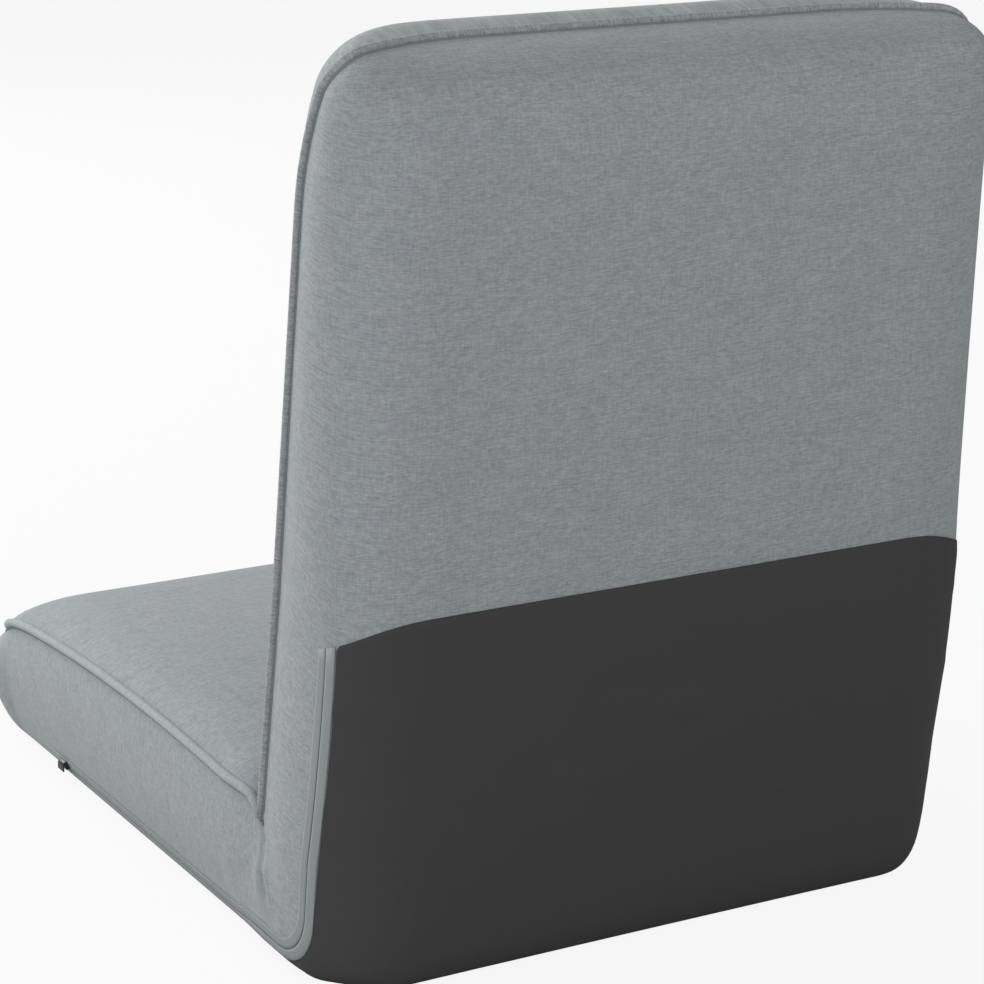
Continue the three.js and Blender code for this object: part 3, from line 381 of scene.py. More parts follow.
SHARES = [k / COLUMN_STEPS * EVEN_SHARE for k in range(COLUMN_STEPS + 1)] + EDGE_SHARES
COLUMNS = [-share for share in reversed(SHARES[1:])] + SHARES
SEAT_ROWS = list(reversed(pad_rows(Seat, [ZIP_FRONT])))
HEEL_ROWS = heel_rows()
BACK_ROWS = pad_rows(Back, [DARK_TOP])
ROWS = SEAT_ROWS + HEEL_ROWS + BACK_ROWS
CREASE_ROW = len(SEAT_ROWS) - 1
MITRE_ROW = CREASE_ROW + 1
BACK_START = MITRE_ROW + len(HEEL_ROWS)
SEAM_ROW = min(k for k in range(BACK_START, len(ROWS)) if ROWS[k].s >= DARK_TOP)


def measure_heel():
    """Gives each heel row its distance round the heel, and says where the seat's pattern starts."""
    arc = 0.0
    for k in range(BACK_START - 1, CREASE_ROW, -1):
        before = ROWS[k + 1].outer if ROWS[k + 1].fan else tuple(Back.place(0, 0, Back.rear(0))[1:])
        arc += math.dist(before, ROWS[k].outer)
        ROWS[k].arc = -arc
    return -arc - math.dist(ROWS[MITRE_ROW].outer, (0, 0))


SEAT_ARC = measure_heel()


def crease_dip(s, share):
    """The face sinks where the crease meets the sides."""
    down = CREASE_DIP * max(1 - s / CREASE_DIP_LENGTH, 0) ** 2 * share**CREASE_DIP_SHARPNESS
    return Back.along * down


def front_point(row, share):
    """A point of the light grey face, at a share of the half width."""
    if row.fan or (row.s == 0 and row.turn == 0):
        return np.array([share * (HALF_WIDTH - WELT_PINCH), 0, CREASE_HEIGHT]) - crease_dip(0, share)
    pad = row.pad
    pinch = WELT_PINCH * min(WELT_PINCH_SPREAD * max(1 - row.s / pad.pinch_length, 0), 1)
    full = pad.half(row.s) - pinch - CORNER_RADIUS + CORNER_RADIUS * math.cos(row.turn)
    s = row.s + CORNER_RADIUS * math.sin(row.turn)
    x = share * full
    across = rounded((full - abs(x)) / EDGE_REACH)
    end = rounded((pad.length - s) / pad.end_reach, pad.squareness)
    crease = swell(s / CREASE_ROUNDING)
    overhang = pad.overhang * math.sin(math.pi * end**OVERHANG_SKEW) * across
    in_from_side = max(1 - (pad.half(s) - abs(x)) / pad.droop_reach, 0)
    in_from_end = max(1 - (pad.length - s) / pad.droop_reach, 0)
    droop = pad.droop * (in_from_side * in_from_end) ** 2
    droop += pad.sag * in_from_end**2 * (1 - (x / pad.half(s)) ** SAG_SQUARENESS)
    droop += pad.fall * max(1 - (pad.length - s) / FALL_REACH, 0) ** 2
    depth = pad.front(s) - pad.crown(s) * across * end * crease + droop
    return pad.place(x, s + overhang, depth) - crease_dip(s, share)


def corner_drop(distance, wide):
    """How much of the rim's depth is left at a distance in from the rim."""
    width = wide * math.cos(CORNER_ANGLE)
    c = math.cos(CORNER_ANGLE) * (1 - clamped(distance / width))
    return (1 - math.sqrt(1 - c * c)) / (1 - math.sin(CORNER_ANGLE))


def seam_shift(row, x):
    """How far a row near the dark cloth's upper seam is drawn down to follow the arch."""
    if row.fan or row.pad is not Back or row.turn > 0:
        return 0
    fall = max((abs(x) - HALF_WIDTH + DARK_DROP_WIDTH) / DARK_DROP_WIDTH, 0)
    near = max(1 - abs(row.s - DARK_TOP) / DARK_DROP_REACH, 0)
    return -DARK_DROP * fall * fall * ease(near)


def rear_point(row, share):
    """A point of the rear face or the underside, at a share of the half width."""
    if row.fan:
        half = HALF_WIDTH - SIDE_TUCK
        x = share * half
        left = corner_drop(half - abs(x), row.wide)
        y, z = (lerp(row.outer[i], row.edge[i], left) for i in range(2))
        return np.array([x, y, z])
    pad = row.pad
    end = math.sin(row.turn) ** 2
    radius = CORNER_RADIUS - pad.tuck(row.s, end)
    full = pad.half(row.s) - CORNER_RADIUS + radius * math.cos(row.turn)
    x = share * full
    s = row.s + radius * math.sin(row.turn) + seam_shift(row, x)
    wide = CORNER_ACROSS if pad is Back else UNDER_ACROSS
    across = 1 - corner_drop(full - abs(x), wide)
    to_end = 1 - corner_drop(pad.length - pad.tuck(s, 1) - s, CORNER_ACROSS)
    return pad.place(x, s, pad.rear(s) - pad.rim(s, end) * (1 - across * to_end))


def outward(row, share, is_end):
    """The way out of the side cloth, level with the cushion's face."""
    if row.fan:
        return np.array([share, 0, 0])
    if is_end:
        return row.pad.along
    turned = row.pad.along * math.sin(row.turn)
    return np.array([share * math.cos(row.turn), turned[1], turned[2]])


def band_point(station, part):
    """A point of the side cloth, at a part of the way from the piping to the rear rim."""
    row, share, is_end = station
    top, low = front_point(row, share), rear_point(row, share)
    if row.fan:
        bulge = SIDE_BULGE
        fullness = lerp(1, SIDE_FULLNESS, part)
    else:
        end = math.sin(row.turn) ** 2
        bulge = row.pad.bulge(row.s, end)
        fullness = lerp(lerp(1, row.pad.low_fullness(row.s), part), row.pad.fullness, end)
    reach = max(math.sin(math.pi * part), 0) ** fullness
    return lerp(top, low, part) + outward(row, share, is_end) * bulge * reach


def band_width(station):
    return np.linalg.norm(band_point(station, 0) - band_point(station, 1))


def band_stations():
    """Places round the whole side cloth: across the front, up the left, across the top, down the right."""
    last = len(ROWS) - 1
    around = [(ROWS[0], share, True) for share in COLUMNS]
    around += [(ROWS[k], 1.0, False) for k in range(1, last)]
    around += [(ROWS[last], share, True) for share in reversed(COLUMNS)]
    around += [(ROWS[k], -1.0, False) for k in range(last - 1, 0, -1)]
    return around


STATIONS = band_stations()


def to_row_frame(point):
    """From the cushions' millimetres, with the crease at y 0, to the frame's metres."""
    return (point[0] * MM, (point[1] + SHIFT_Y) * MM, point[2] * MM)


# Pattern coordinates in millimetres: u runs across the cloth and v along it
def rear_uv(row, point):
    if row.fan:
        return point[0], row.arc
    radius = CORNER_RADIUS - row.pad.tuck(row.s, math.sin(row.turn) ** 2)
    s = row.s + radius * math.sin(row.turn)
    if row.pad is Back:
        return point[0], s + seam_shift(row, point[0])
    return point[0], SEAT_ARC - s


def band_uv(station, point):
    row, share, is_end = station
    if row.fan:
        side = math.copysign(HALF_WIDTH - SIDE_TUCK, share)
        if ROWS.index(row) <= MITRE_ROW:
            return side + math.copysign(point[2], share), SEAT_ARC + point[1]
        s, t = back_of(point[1], point[2])
        return side + math.copysign(BACK_FOOT_THICKNESS - t, share), s
    low = rear_point(row, share)
    u, v = rear_uv(row, low)
    across = np.linalg.norm(point - low)
    if is_end:
        out = (0, 1)
    else:
        out = (math.copysign(math.cos(row.turn), share), math.sin(row.turn))
    flip = 1 if row.pad is Back else -1
    return u + out[0] * across, v + out[1] * across * flip


def front_uv(row, point):
    s = row.s + CORNER_RADIUS * math.sin(row.turn)
    return point[0], -s if row.pad is Seat else s


# The faces of the body, by the piece of cloth that covers them
FRONT, SIDE, REAR, BASE = range(4)

# Where the cushions' cloth is held: on the floor, beside the zip and where the side turns under
FLOOR_TOUCH = 1.0
ZIP_HOLD = 24
ZIP_HOLD_PAST_TOP = 8
SEAT_HELD_PART = 0.9


def cushion_mesh():
    """The whole padded body as one closed mesh of quads, with its cloths, pins and pattern."""
    places, lookup, faces, cloths, uvs = [], {}, [], [], []
    pins = []

    def vertex(point, held):
        key = tuple(round(float(value), 3) for value in point)
        if key not in lookup:
            lookup[key] = len(places)
            places.append(to_row_frame(point))
            pins.append(0.0)
        index = lookup[key]
        if held:
            pins[index] = 1.0
        return index

    def face(corners, cloth):
        kept, used = [], set()
        for index, uv in corners:
            if index not in used:
                used.add(index)
                kept.append((index, uv))
        if len(kept) > 2:
            faces.append([index for index, _ in kept])
            uvs.extend(uv for _, uv in kept)
            cloths.append(cloth)

    def grid(lines, cloth_of, turned):
        for j in range(len(lines) - 1):
            for i in range(len(lines[j]) - 1):
                quad = [lines[j][i], lines[j][i + 1], lines[j + 1][i + 1], lines[j + 1][i]]
                face(quad[::-1] if turned else quad, cloth_of(j))

    lines = []
    for row in ROWS:
        if row.fan or (row.pad is Back and row.s == 0):
            continue
        line = []
        for share in COLUMNS:
            point = front_point(row, share)
            held = abs(share) == 1 or row.last or (row.s == 0 and row.turn == 0)
            line.append((vertex(point, held), front_uv(row, point)))
        lines.append(line)
    grid(lines, lambda j: FRONT, False)

    lines = []
    for index, row in enumerate(ROWS):
        line = []
        for share in COLUMNS:
            point = rear_point(row, share)
            edge = (abs(share) == 1 or row.last) and index <= SEAM_ROW
            held = edge or index == SEAM_ROW or point[2] < FLOOR_TOUCH
            line.append((vertex(point, held), rear_uv(row, point)))
        lines.append(line)
    grid(lines, lambda j: BASE if j < SEAM_ROW else REAR, True)

    lines = []
    for station in STATIONS + STATIONS[:1]:
        row, share, is_end = station
        near_zip = not is_end and (row.fan or row.pad is Seat or row.s <= ZIP_TOP + ZIP_HOLD_PAST_TOP)
        width = band_width(station)
        line = []
        for part in BAND_SHARES:
            point = band_point(station, part)
            by_zip = near_zip and (1 - part) * width < ZIP_HOLD
            held = part == 0 or by_zip or (row.pad is Seat and part > SEAT_HELD_PART)
            line.append((vertex(point, held), band_uv(station, point)))
        lines.append(line)
    grid(lines, lambda j: SIDE, False)
    return places, faces, cloths, uvs, pins


def new_object(name, places, faces, uvs=None):
    mesh = bpy.data.meshes.new(name)
    mesh.from_pydata([tuple(place) for place in places], [], faces)
    if uvs is not None:
        layer = mesh.uv_layers.new(name="cloth")
        layer.data.foreach_set("uv", np.array(uvs, np.float32).ravel() * MM)
    mesh.validate()
    mesh.update()
    piece = bpy.data.objects.new(name, mesh)
    bpy.context.scene.collection.objects.link(piece)
    return piece


def only(piece):
    bpy.ops.object.select_all(action="DESELECT")
    piece.select_set(True)
    bpy.context.view_layer.objects.active = piece


def finish_modifier(piece, kind, **settings):
    """Adds a modifier with its settings and applies it."""
    only(piece)
    bpy.ops.object.modifier_add(type=kind)
    modifier = piece.modifiers[-1]
    for name, value in settings.items():
        setattr(modifier, name, value)
    bpy.ops.object.modifier_apply(modifier=modifier.name)


def read_places(piece):
    places = np.zeros(len(piece.data.vertices) * 3, np.float32)
    piece.data.vertices.foreach_get("co", places)
    return places.reshape(-1, 3)


def write_places(piece, places):
    piece.data.vertices.foreach_set("co", places.astype(np.float32).ravel())
    piece.data.update()


PUFF_CAP = 1.8 * MM
PUFF_FRAMES = 16
FOAM_HOLD = 0.15


def puff(piece, pins):
    """Cloth simulation under air pressure; the seams are held, and the foam holds the rest a little."""
    before = read_places(piece)
    group = piece.vertex_groups.new(name="held")
    for index, pin in enumerate(pins):
        group.add([index], max(pin, FOAM_HOLD), "REPLACE")
    only(piece)
    bpy.ops.object.modifier_add(type="CLOTH")
    piece.modifiers["Cloth"].collision_settings.use_collision = False
    cloth = piece.modifiers["Cloth"].settings
    cloth.quality = 5
    cloth.mass = 0.3
    cloth.tension_stiffness = 15
    cloth.compression_stiffness = 15
    cloth.shear_stiffness = 5
    cloth.bending_stiffness = 1.5
    cloth.use_pressure = True
    cloth.uniform_pressure_force = 4
    cloth.vertex_group_mass = "held"
    cloth.effector_weights.gravity = 0
    for frame_number in range(1, PUFF_FRAMES + 1):
        bpy.context.scene.frame_set(frame_number)
    bpy.ops.object.modifier_apply(modifier="Cloth")
    bpy.context.scene.frame_set(1)
    moved = read_places(piece) - before
    length = np.linalg.norm(moved, axis=1)
    scale = PUFF_CAP * np.tanh(length / PUFF_CAP) / np.maximum(length, 1e-9)
    write_places(piece, before + moved * scale[:, None])
    piece.vertex_groups.clear()


def linear(hex_colour):
    """An sRGB hex colour as linear red, green, blue and alpha."""
    channels = [int(hex_colour[k : k + 2], 16) / 255 for k in (1, 3, 5)]
    return tuple(
        c / 12.92 if c <= 0.04045 else ((c + 0.055) / 1.055) ** 2.4 for c in channels
    ) + (1.0,)


def node(tree, kind, inputs, **settings):
    """Adds a node, sets its settings, and sets or links its inputs."""
    made = tree.nodes.new(kind)
    for name, value in settings.items():
        setattr(made, name, value)
    for name, value in inputs.items():
        if isinstance(value, bpy.types.NodeSocket):
            tree.links.new(value, made.inputs[name])
        else:
            made.inputs[name].default_value = value
    return made


def new_material(name, roughness):
    material = bpy.data.materials.new(name)
    material.use_nodes = True
    tree = material.node_tree
    shader = tree.nodes["Principled BSDF"]
    shader.inputs["Roughness"].default_value = roughness
    return material, tree, shader


def set_stops(ramp, *stops):
    """Gives a colour ramp its places and their colours."""
    points = ramp.color_ramp.elements
    while len(points) < len(stops):
        points.new(0.5)
    for point, (place, colour) in zip(points, stops):
        point.position = place
        point.color = colour


# What the eye sees in the melange weave: the length and width of its streaks in millimetres, their
# weight, whether they run up the cloth, their detail, and a place in the noise. The real threads
# are about 0.3 mm thick, too fine to show, so the streaks are drawn as groups of threads.
WEAVE_STREAKS = [
    (8, 1.2, 0.2, True, 2.0, 7.7),  # warp
    (6, 1.0, 0.36, False, 2.0, 5.3),  # weft
    (26, 1.6, 0.16, False, 2.0, 3.1),  # slubs, the thick places in the weft
    (2.2, 0.9, 0.22, False, 1.0, 11.3),  # flecks of lighter and darker fibre
    (38, 30, 0.06, False, 2.0, 17.9),  # clouds in the dye
]
WEAVE_SPREAD = 0.16
WEAVE_RELIEF = 0.6 * MM


def woven_cloth(name, dark, middle, light, contrast=1.0):
    """Linen-look polyester: streaks along the weft and warp in three greys."""
    material, tree, shader = new_material(name, 0.95)
    uv = node(tree, "ShaderNodeUVMap", {}, uv_map="cloth").outputs["UV"]
    weave = 0.0
    for long_mm, thin_mm, weight, up, detail, seed in WEAVE_STREAKS:
        along, across = 1 / (long_mm * MM), 1 / (thin_mm * MM)
        streaks = node(tree, "ShaderNodeMapping", {
            "Vector": uv,
            "Scale": (across, along, 1) if up else (along, across, 1),
            "Location": (seed, seed * 1.7, seed),
        })
        streaks = node(tree, "ShaderNodeTexNoise", {
            "Vector": streaks.outputs["Vector"], "Scale": 1.0, "Detail": detail, "Roughness": 0.55,
        })
        weave = node(tree, "ShaderNodeMath", {
            0: streaks.outputs["Fac"], 1: weight, 2: weave,
        }, operation="MULTIPLY_ADD").outputs["Value"]
    greys = node(tree, "ShaderNodeValToRGB", {"Fac": weave})
    spread = WEAVE_SPREAD / contrast
    set_stops(greys, (0.5 - spread, linear(dark)), (0.5, linear(middle)), (0.5 + spread, linear(light)))
    relief = node(tree, "ShaderNodeBump", {"Height": weave, "Strength": 0.35, "Distance": WEAVE_RELIEF})
    tree.links.new(greys.outputs["Color"], shader.inputs["Base Color"])
    tree.links.new(relief.outputs["Normal"], shader.inputs["Normal"])
    shader.inputs["Specular IOR Level"].default_value = 0.2
    shader.inputs["Sheen Weight"].default_value = 0.15
    shader.inputs["Sheen Roughness"].default_value = 0.5
    return material


# How far a grain's colour strays to each side. Its width is the real fibre's or pore's where that
# shows, and otherwise drawn coarser, up to 2 mm, because paint and plating are too fine to show.
GRAIN_TINT = 0.06


def grained(name, colour, roughness, metallic=0.0, grain_mm=2.0, relief_mm=0.15):
    """A finish with a fine grain in its colour and surface."""
    material, tree, shader = new_material(name, roughness)
    place = node(tree, "ShaderNodeTexCoord", {}).outputs["Object"]
    grain = node(tree, "ShaderNodeTexNoise", {
        "Vector": place, "Scale": 1 / (grain_mm * MM), "Detail": 3.0, "Roughness": 0.6,
    }).outputs["Fac"]
    tint = node(tree, "ShaderNodeValToRGB", {"Fac": grain})
    base = linear(colour)[:3]
    darker = tuple(c * (1 - GRAIN_TINT) for c in base) + (1.0,)
    lighter = tuple(c * (1 + GRAIN_TINT) for c in base) + (1.0,)
    set_stops(tint, (0.3, darker), (0.7, lighter))
    relief = node(tree, "ShaderNodeBump", {"Height": grain, "Strength": 0.3, "Distance": relief_mm * MM})
    tree.links.new(tint.outputs["Color"], shader.inputs["Base Color"])
    tree.links.new(relief.outputs["Normal"], shader.inputs["Normal"])
    shader.inputs["Metallic"].default_value = metallic
    return material


# Woven from light and dark grey yarn: level streaks crossed by fainter upright ones, no gloss
linen_polyester = woven_cloth("linen-look woven polyester", "#7F8688", "#969D9E", "#AAB0B1")
# The seat's piping: the same cloth as the body, given a paler grey as painted light, since that run faces
# the light from above
lit_piping_cloth = woven_cloth("piping cloth painted paler as lit", "#8A9192", "#9EA5A6", "#AFB6B6")
# The back's piping: the body cloth's grey with stronger, darker bars across the cord; the bars are the
# twill's, and their extra dark is partly painted shade on the run that faces away from the light
shaded_piping_twill = woven_cloth("piping twill with painted shade", "#747A7C", "#959B9D", "#ABB0B2", 1.3)
# Painted shadow: a soft dark line below the piping, standing in for the shade in the seam's gap
painted_seam_shadow = grained("cloth folded into the seam", "#7B8082", 0.95, grain_mm=0.8)
# Bonded fibres with no thread: an even near-black with a faint bloom
base_cloth = grained("black nonwoven base cloth", "#3A3A3A", 0.85, grain_mm=1.2, relief_mm=0.1)
# Close herringbone tape, dyed to match: a smooth grey a little duller than the cloth
zip_tape = grained("woven zip tape", "#8F9596", 0.8, grain_mm=0.8)
# Cast zinc dipped in enamel: black with a soft shine on its edges
zip_enamel = grained("black enamelled zinc", "#1E1F20", 0.4)
# Baked powder paint: black, half matt, with a slight orange peel
tube_paint = grained("black powder-coated steel tube", "#2B2C2E", 0.5)
# Pressed sheet with a bright zinc plating: a pale cool metal with a blurred shine
zinc_steel = grained("zinc-plated pressed steel", "#A6AAAD", 0.35, metallic=1.0)
# Rubber threads bound in polyester: dark grey, matt and ribbed
webbing = grained("elastic webbing", "#404246", 0.9, grain_mm=1.5)
# Foam cut from the block: pale cream, fully matt, with fine open pores
foam = grained("open-cell polyurethane foam", "#E8E0C8", 1.0, grain_mm=1.0)


def finish_of(name):
    """The finish of one of the frame's own nodes."""
    if "foam" in name:
        return foam
    if "webbing" in name:
        return webbing
    if name.endswith("_tube"):
        return tube_paint
    if name in ("zip_slider", "zip_pull"):
        return zip_enamel
    if "piping" in name:
        return shaded_piping_twill
    if "tape" in name:
        return zip_tape
    if name in ("seat_base_panel", "heel_panel", "back_lower_panel"):
        return base_cloth
    if any(word in name for word in ("cheek", "ratchet", "pawl", "rivet")):
        return zinc_steel
    return linen_polyester


for name, piece in frame["nodes"].items():
    piece.data.materials.clear()
    piece.data.materials.append(finish_of(name))

# Folds in the side cloth below the crease: start and end (y, z), half-width and depth in millimetres
SIDE_FOLDS = [
    ((198, 94), (204, 85), 3.0, 1.4),
    ((206.5, 85), (205.5, 58), 3.0, 1.0),
    ((206.5, 57), (211, 48), 4.0, 2.0),
    ((209, 43), (222, 33), 5.0, 0.9),
    ((190, 60), (160, 40), 7.0, 0.5),
]
SIDE_REACH = 8
FOLD_LIP_SHARE = 0.45
FOLD_LIP_AWAY = 1.9


def gather(piece):
    """Soft gathers of the side cloth at the fold, each with a low lip, the same on both sides."""
    places = read_places(piece)
    side = np.abs(places[:, 0]) > (HALF_WIDTH - SIDE_REACH) * MM
    flat = places[:, 1:] / MM
    for start, end, width, depth in SIDE_FOLDS:
        start, run = np.array(start), np.array(end) - np.array(start)
        share = np.clip((flat - start) @ run / (run @ run), 0, 1)
        away = np.linalg.norm(flat - start - share[:, None] * run, axis=1) / width
        lip = FOLD_LIP_SHARE * np.exp(-((away - FOLD_LIP_AWAY) ** 2))
        moved = depth * (lip - np.exp(-(away**2)))
        places[:, 0] += np.where(side, np.sign(places[:, 0]) * moved * MM, 0)
    write_places(piece, places)


RUMPLE = 1.6 * MM
RUMPLE_FADE = 60 * MM
# Waves in a metre across, along and up, and how much the narrow ones add
BROAD_RUMPLE = Vector((9, 12, 38))
NARROW_RUMPLE = Vector((25, 20, 60))
NARROW_RUMPLE_SHARE = 0.5


def rumple(piece):
    """Shallow wrinkles in the loose dark cloth behind, none where it lies on the floor."""
    for vertex in piece.data.vertices:
        wave = noise.noise(vertex.co * BROAD_RUMPLE)
        wave += NARROW_RUMPLE_SHARE * noise.noise(vertex.co * NARROW_RUMPLE)
        vertex.co += vertex.normal * (RUMPLE * max(wave, 0) * min(vertex.co.z / RUMPLE_FADE, 1))


def base_cover(source, cloths):
    """The dark cloth: the faces of the body that it covers, copied before the body is finished."""
    covered = [list(face.vertices) for face, cloth in zip(source.data.polygons, cloths) if cloth == BASE]
    used = sorted({index for corners in covered for index in corners})
    renumber = {index: place for place, index in enumerate(used)}
    faces = [[renumber[index] for index in corners] for corners in covered]
    return new_object("base_cover", [source.data.vertices[index].co for index in used], faces)


# The cover and foam as one padded body, and the dark cloth over its underside and heel
places, faces, cloths, uvs, pins = cushion_mesh()
cushion = new_object("cushion_body", places, faces, uvs)
puff(cushion, pins)
dark = base_cover(cushion, cloths)
finish_modifier(cushion, "SUBSURF", levels=1, render_levels=1)
gather(cushion)
finish_modifier(dark, "SUBSURF", levels=1, render_levels=1)
rumple(dark)
finish_modifier(dark, "SOLIDIFY", thickness=BASE_THICKNESS * MM, offset=0.2)
on_floor = read_places(dark)
on_floor[:, 2] = np.maximum(on_floor[:, 2], 0)
write_places(dark, on_floor)
cushion.data.materials.append(linen_polyester)
dark.data.materials.append(base_cloth)
for piece in (cushion, dark):
    piece.data.shade_smooth()


def closed_cord(name, path, sides, radius):
    """A round cord along a closed path, its rings carried so that they never twist."""
    count = len(path)
    points = [Vector(place) for place in path]
    turns = [2 * math.pi * i / sides for i in range(sides)]
    places, lengths, side = [], [0.0], Vector((0, 0, 1))
    for k in range(count):
        tangent = (points[(k + 1) % count] - points[k - 1]).normalized()
        side = (side - tangent * side.dot(tangent)).normalized()
        third = tangent.cross(side)
        places += [points[k] + (side * math.cos(a) + third * math.sin(a)) * radius for a in turns]
        lengths.append(lengths[-1] + (points[(k + 1) % count] - points[k]).length)
    faces, uvs = [], []
    step = 2 * math.pi * radius / sides / MM
    for k in range(count):
        j = (k + 1) % count
        low, high = lengths[k] / MM, lengths[k + 1] / MM
        for i in range(sides):
            n = (i + 1) % sides
            faces.append([k * sides + i, k * sides + n, j * sides + n, j * sides + i])
            uvs += [(i * step, low), ((i + 1) * step, low), ((i + 1) * step, high), (i * step, high)]
    made = new_object(name, places, faces, uvs)
    made.data.shade_smooth()
    return made


def thinned(points, rows):
    """The points, each with its row, without those that lie closer together than a cord's step."""
    kept = []
    for point, row in zip(points, rows):
        if not kept or np.linalg.norm(point - kept[-1][0]) > CORD_STEP:
            kept.append((point, row))
    return kept


def piping_point(station):
    """The piping stands off the edge, outwards and off the face."""
    row = station[0]
    pad = Back if row.pad is Back else Seat
    lift = pad.place(0, 0, -PIPING_STAND) - pad.place(0, 0, 0)
    return band_point(station, 0) + outward(*station) * PIPING_STAND + lift


def shadow_cord_point(station):
    """The thin dark cord of painted shadow lies just below the piping, on the side cloth along the seam."""
    return band_point(station, SHADOW_CORD_BELOW_PIPING / band_width(station))


rows_around = [station[0] for station in STATIONS]
piping_path = thinned([piping_point(station) for station in STATIONS], rows_around)
shadow_cord_path = thinned([shadow_cord_point(station) for station in STATIONS], rows_around)
piping = closed_cord("piping", [to_row_frame(p) for p, _ in piping_path], PIPING_SIDES, PIPING_RADIUS * MM)
piping.data.materials.append(lit_piping_cloth)
piping.data.materials.append(shaded_piping_twill)
# The seat's run of piping takes the paler cloth, painted light; the heel's and back's runs take the twill,
# partly painted shade
for index, face in enumerate(piping.data.polygons):
    row = piping_path[index // PIPING_SIDES][1]
    face.material_index = 1 if row.pad is Back or row.fan else 0
# A thin dark cord along the seam: painted shadow for the gap below the piping, joined into the piping below
seam = closed_cord("seam", [to_row_frame(p) for p, _ in shadow_cord_path], SHADOW_CORD_SIDES, SHADOW_CORD_RADIUS * MM)
seam.data.materials.append(painted_seam_shadow)
only(piping)
seam.select_set(True)
bpy.ops.object.join()


def zip_rows():
    """The rows that the zip runs over, with the last on the dark cloth's upper edge."""
    tape_edge = ZIP_EDGE + 2 * TAPE_WIDTH + TAPE_GROOVE
    tops = {Seat: ZIP_FRONT, Back: DARK_TOP - ZIP_TOP_SLANT * tape_edge - ROW_GAP}
    rows = [row for row in ROWS if row.fan or (row.turn == 0 and row.s <= tops[row.pad])]
    return rows + [Row(Back, DARK_TOP)]


# The side cloth's width near the rim is measured over its last quarter, in short steps
PROBE_STEPS = 40
SLOPE_STEP_SHARE = 0.004


def zip_point(station, distance):
    """A place on the side at a distance in from the rim, and the way on towards the rim."""
    probes = [band_point(station, 1 - n / PROBE_STEPS) for n in range(PROBE_STEPS // 4 + 1)]
    width = 4 * sum(np.linalg.norm(b - a) for a, b in zip(probes, probes[1:]))
    part = 1 - distance / width
    here = band_point(station, part)
    return here, band_point(station, part + SLOPE_STEP_SHARE) - here


def tape(name, low, high):
    """A flat tape on the left side between two distances from the rim, cut slanting at its top."""
    lines = []
    for row in zip_rows():
        line = []
        for k in range(TAPE_COLUMNS):
            distance = lerp(low, high, k / (TAPE_COLUMNS - 1))
            cut = DARK_TOP - ZIP_TOP_SLANT * distance
            at = Row(Back, min(row.s, cut)) if row.pad is Back else row
            line.append(zip_point((at, 1.0, False), distance))
        lines.append(line)
    places, faces = [], []
    for j, line in enumerate(lines):
        before, after = lines[max(j - 1, 0)], lines[min(j + 1, len(lines) - 1)]
        for k, (here, slope) in enumerate(line):
            normal = np.cross(after[k][0] - before[k][0], slope)
            normal *= math.copysign(1, normal[0]) / np.linalg.norm(normal)
            places.append(to_row_frame(here + normal * TAPE_LIFT))
    for j in range(len(lines) - 1):
        for i in range(TAPE_COLUMNS - 1):
            a = j * TAPE_COLUMNS + i
            faces.append([a, a + 1, a + TAPE_COLUMNS + 1, a + TAPE_COLUMNS])
    piece = new_object(name, places, faces)
    only(piece)
    bpy.ops.object.mode_set(mode="EDIT")
    bpy.ops.mesh.select_all(action="SELECT")
    bpy.ops.mesh.normals_make_consistent(inside=False)
    bpy.ops.object.mode_set(mode="OBJECT")
    if sum(face.normal.x for face in piece.data.polygons) < 0:
        piece.data.flip_normals()
    finish_modifier(piece, "SOLIDIFY", thickness=TAPE_THICKNESS * MM, offset=0.0)
    piece.data.materials.append(zip_tape)
    piece.data.shade_smooth()
    return piece


upper_start = ZIP_EDGE + TAPE_WIDTH + TAPE_GROOVE
lower_tape = tape("zip_tape_rear", ZIP_EDGE, ZIP_EDGE + TAPE_WIDTH)
upper_tape = tape("zip_tape_side", upper_start, upper_start + TAPE_WIDTH)


def placed(add, **settings):
    """A new primitive at its place and size, which its mesh then holds."""
    bpy.ops.object.select_all(action="DESELECT")
    add(**settings)
    bpy.ops.object.transform_apply(location=True, rotation=True, scale=True)
    return bpy.context.active_object


# The slider on the zip, its loop, and the pull that hangs on it
on_zip = zip_point((Row(Seat, ZIP_FRONT - SLIDER_FROM_FRONT), 1.0, False), SLIDER_UP)[0]
slider_x, slider_z = on_zip[0] * MM, on_zip[2] * MM
hinge_y = PULL_HINGE[1]
pull_x = PULL_HINGE[0] - PULL_INSET * MM
slider = placed(
    bpy.ops.mesh.primitive_cube_add, size=MM, rotation=(0, SLIDER_TILT, 0),
    location=(slider_x + SLIDER_OUT_SHARE * SLIDER_THICKNESS * MM, hinge_y, slider_z),
    scale=(SLIDER_THICKNESS, SLIDER_LENGTH, SLIDER_HEIGHT),
)
slider.name = "zip_slider_body"
finish_modifier(slider, "BEVEL", width=SLIDER_EDGE * MM, segments=3)
loop = placed(
    bpy.ops.mesh.primitive_torus_add, major_radius=LOOP_RADIUS * MM, minor_radius=LOOP_WIRE * MM,
    major_segments=32, minor_segments=12,
    location=(pull_x - (LOOP_RADIUS - LOOP_WIRE) * MM, hinge_y, slider_z),
)
only(slider)
loop.select_set(True)
bpy.ops.object.join()
pull = placed(
    bpy.ops.mesh.primitive_cube_add, size=MM,
    location=(pull_x, hinge_y + (PULL_LENGTH / 2 - PULL_EYE_RADIUS) * MM, slider_z),
    scale=(PULL_THICKNESS, PULL_LENGTH, PULL_HEIGHT),
)
pull.name = "zip_pull_tab"
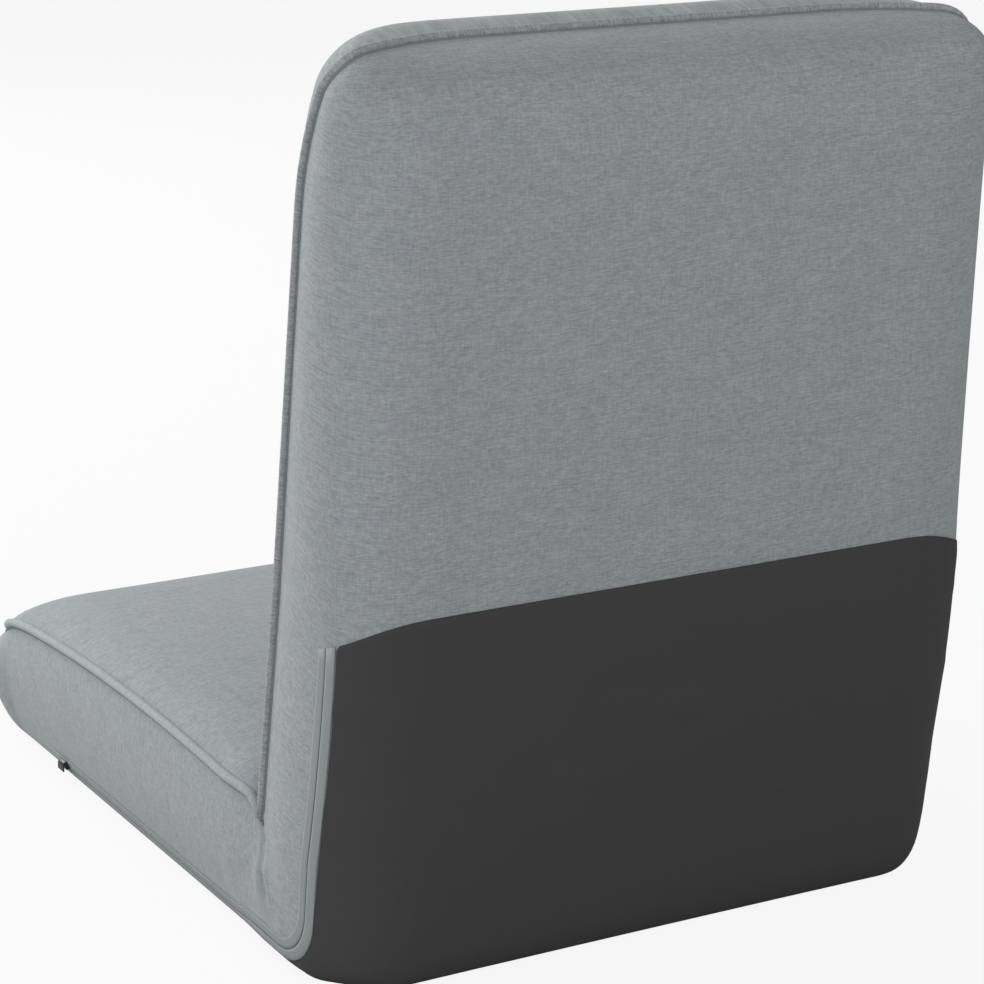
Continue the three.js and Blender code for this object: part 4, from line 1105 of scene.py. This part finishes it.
eye = placed(
    bpy.ops.mesh.primitive_cylinder_add, vertices=32, radius=PULL_EYE_RADIUS * MM,
    depth=2 * PULL_THICKNESS * MM, rotation=(0, math.radians(90), 0),
    location=(pull_x, hinge_y + PULL_EYE_RADIUS * MM, slider_z),
)
finish_modifier(pull, "BOOLEAN", object=eye, operation="DIFFERENCE")
bpy.data.objects.remove(eye)
finish_modifier(pull, "BEVEL", width=PULL_EDGE * MM, segments=2)
for piece in (slider, pull):
    piece.data.materials.append(zip_enamel)
    only(piece)
    bpy.ops.object.shade_smooth_by_angle(angle=EDGE_ANGLE)


for piece in (cushion, dark, piping, lower_tape, upper_tape):
    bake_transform(piece)
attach(slider, "zip_slider")
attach(pull, "zip_pull")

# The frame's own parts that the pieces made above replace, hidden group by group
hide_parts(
    "seat_top_panel", "crease_panel", "back_front_panel", "seat_side_band", "back_side_band",
    "crease_gusset_left", "crease_gusset_right", "heel_gusset_left", "heel_gusset_right", "back_upper_panel",
    "seat_foam_upper", "seat_foam_lower", "back_foam_front", "back_foam_rear", "crease_foam", "heel_foam",
)
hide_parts("seat_base_panel", "heel_panel", "back_lower_panel")
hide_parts("seat_piping", "back_piping", "crease_piping_left", "crease_piping_right")
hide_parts("seat_zip_lower_tape", "heel_zip_lower_tape", "back_zip_lower_tape")
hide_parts("seat_zip_upper_tape", "heel_zip_upper_tape", "back_zip_upper_tape")
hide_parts("zip_slider")
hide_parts("zip_pull")

# The floor is pale grey to the object, and nearly white to the camera
FLOOR_WIDTH = 30
FLOOR_WHITE_SHARE = 0.9
floor = placed(bpy.ops.mesh.primitive_plane_add, size=FLOOR_WIDTH, location=(0, 0, 0))
floor.name = "floor"
material, tree, shader = new_material("white studio floor", 0.9)
shader.inputs["Base Color"].default_value = linear("#C8C8C8")
glow = node(tree, "ShaderNodeEmission", {"Color": linear("#FFFFFF"), "Strength": 1.0})
seen = node(tree, "ShaderNodeLightPath", {}).outputs["Is Camera Ray"]
share = node(tree, "ShaderNodeMath", {0: seen, 1: FLOOR_WHITE_SHARE}, operation="MULTIPLY")
mixed = node(tree, "ShaderNodeMixShader", {
    "Fac": share.outputs["Value"], 1: shader.outputs["BSDF"], 2: glow.outputs["Emission"],
})
tree.links.new(mixed.outputs["Shader"], tree.nodes["Material Output"].inputs["Surface"])
floor.data.materials.append(material)

WORLD_STRENGTH = 0.31
world = bpy.data.worlds.new("studio")
bpy.context.scene.world = world
world.use_nodes = True
sky = world.node_tree.nodes["Background"]
sky.inputs["Color"].default_value = linear("#FFFFFF")
sky.inputs["Strength"].default_value = WORLD_STRENGTH


# Square lamps: name, place, the point that each faces, width in metres and power in watts
SOFTBOXES = [
    ("side_lamp", (3.2, 0.2, 1.5), (0, 0.1, 0.3), 2.0, 30),
    ("rear_lamp", (0.4, 3.6, 1.8), (0, 0.1, 0.3), 2.4, 50),
    ("front_lamp", (1.2, -3.2, 2.2), (0, 0, 0.3), 2.4, 145),
]
for name, place, target, width, watts in SOFTBOXES:
    light = bpy.data.lights.new(name, "AREA")
    light.size = width
    light.energy = watts
    softbox = bpy.data.objects.new(name, light)
    bpy.context.scene.collection.objects.link(softbox)
    softbox.location = place
    softbox.rotation_euler = (Vector(target) - Vector(place)).to_track_quat("-Z", "Y").to_euler()

# The camera as fitted to the edges in the photograph: its place, the way it looks back, and its roll
CAMERA_AT = (1.0460, 1.9712, 0.8697)
CAMERA_BACK = Vector((0.4643, 0.8433, 0.2706))
CAMERA_ROLL = math.radians(-0.12)
CAMERA_LENS = 112.72
camera_data = bpy.data.cameras.new("camera")
camera_data.sensor_width = 36
camera_data.sensor_fit = "HORIZONTAL"
camera_data.lens = CAMERA_LENS
camera_data.clip_end = 100
camera = bpy.data.objects.new("camera", camera_data)
bpy.context.scene.collection.objects.link(camera)
camera.location = CAMERA_AT
camera.rotation_euler = (-CAMERA_BACK).to_track_quat("-Z", "Y").to_euler()
camera.rotation_euler.rotate_axis("Z", CAMERA_ROLL)
bpy.context.scene.camera = camera
bpy.context.scene.view_settings.view_transform = "Standard"
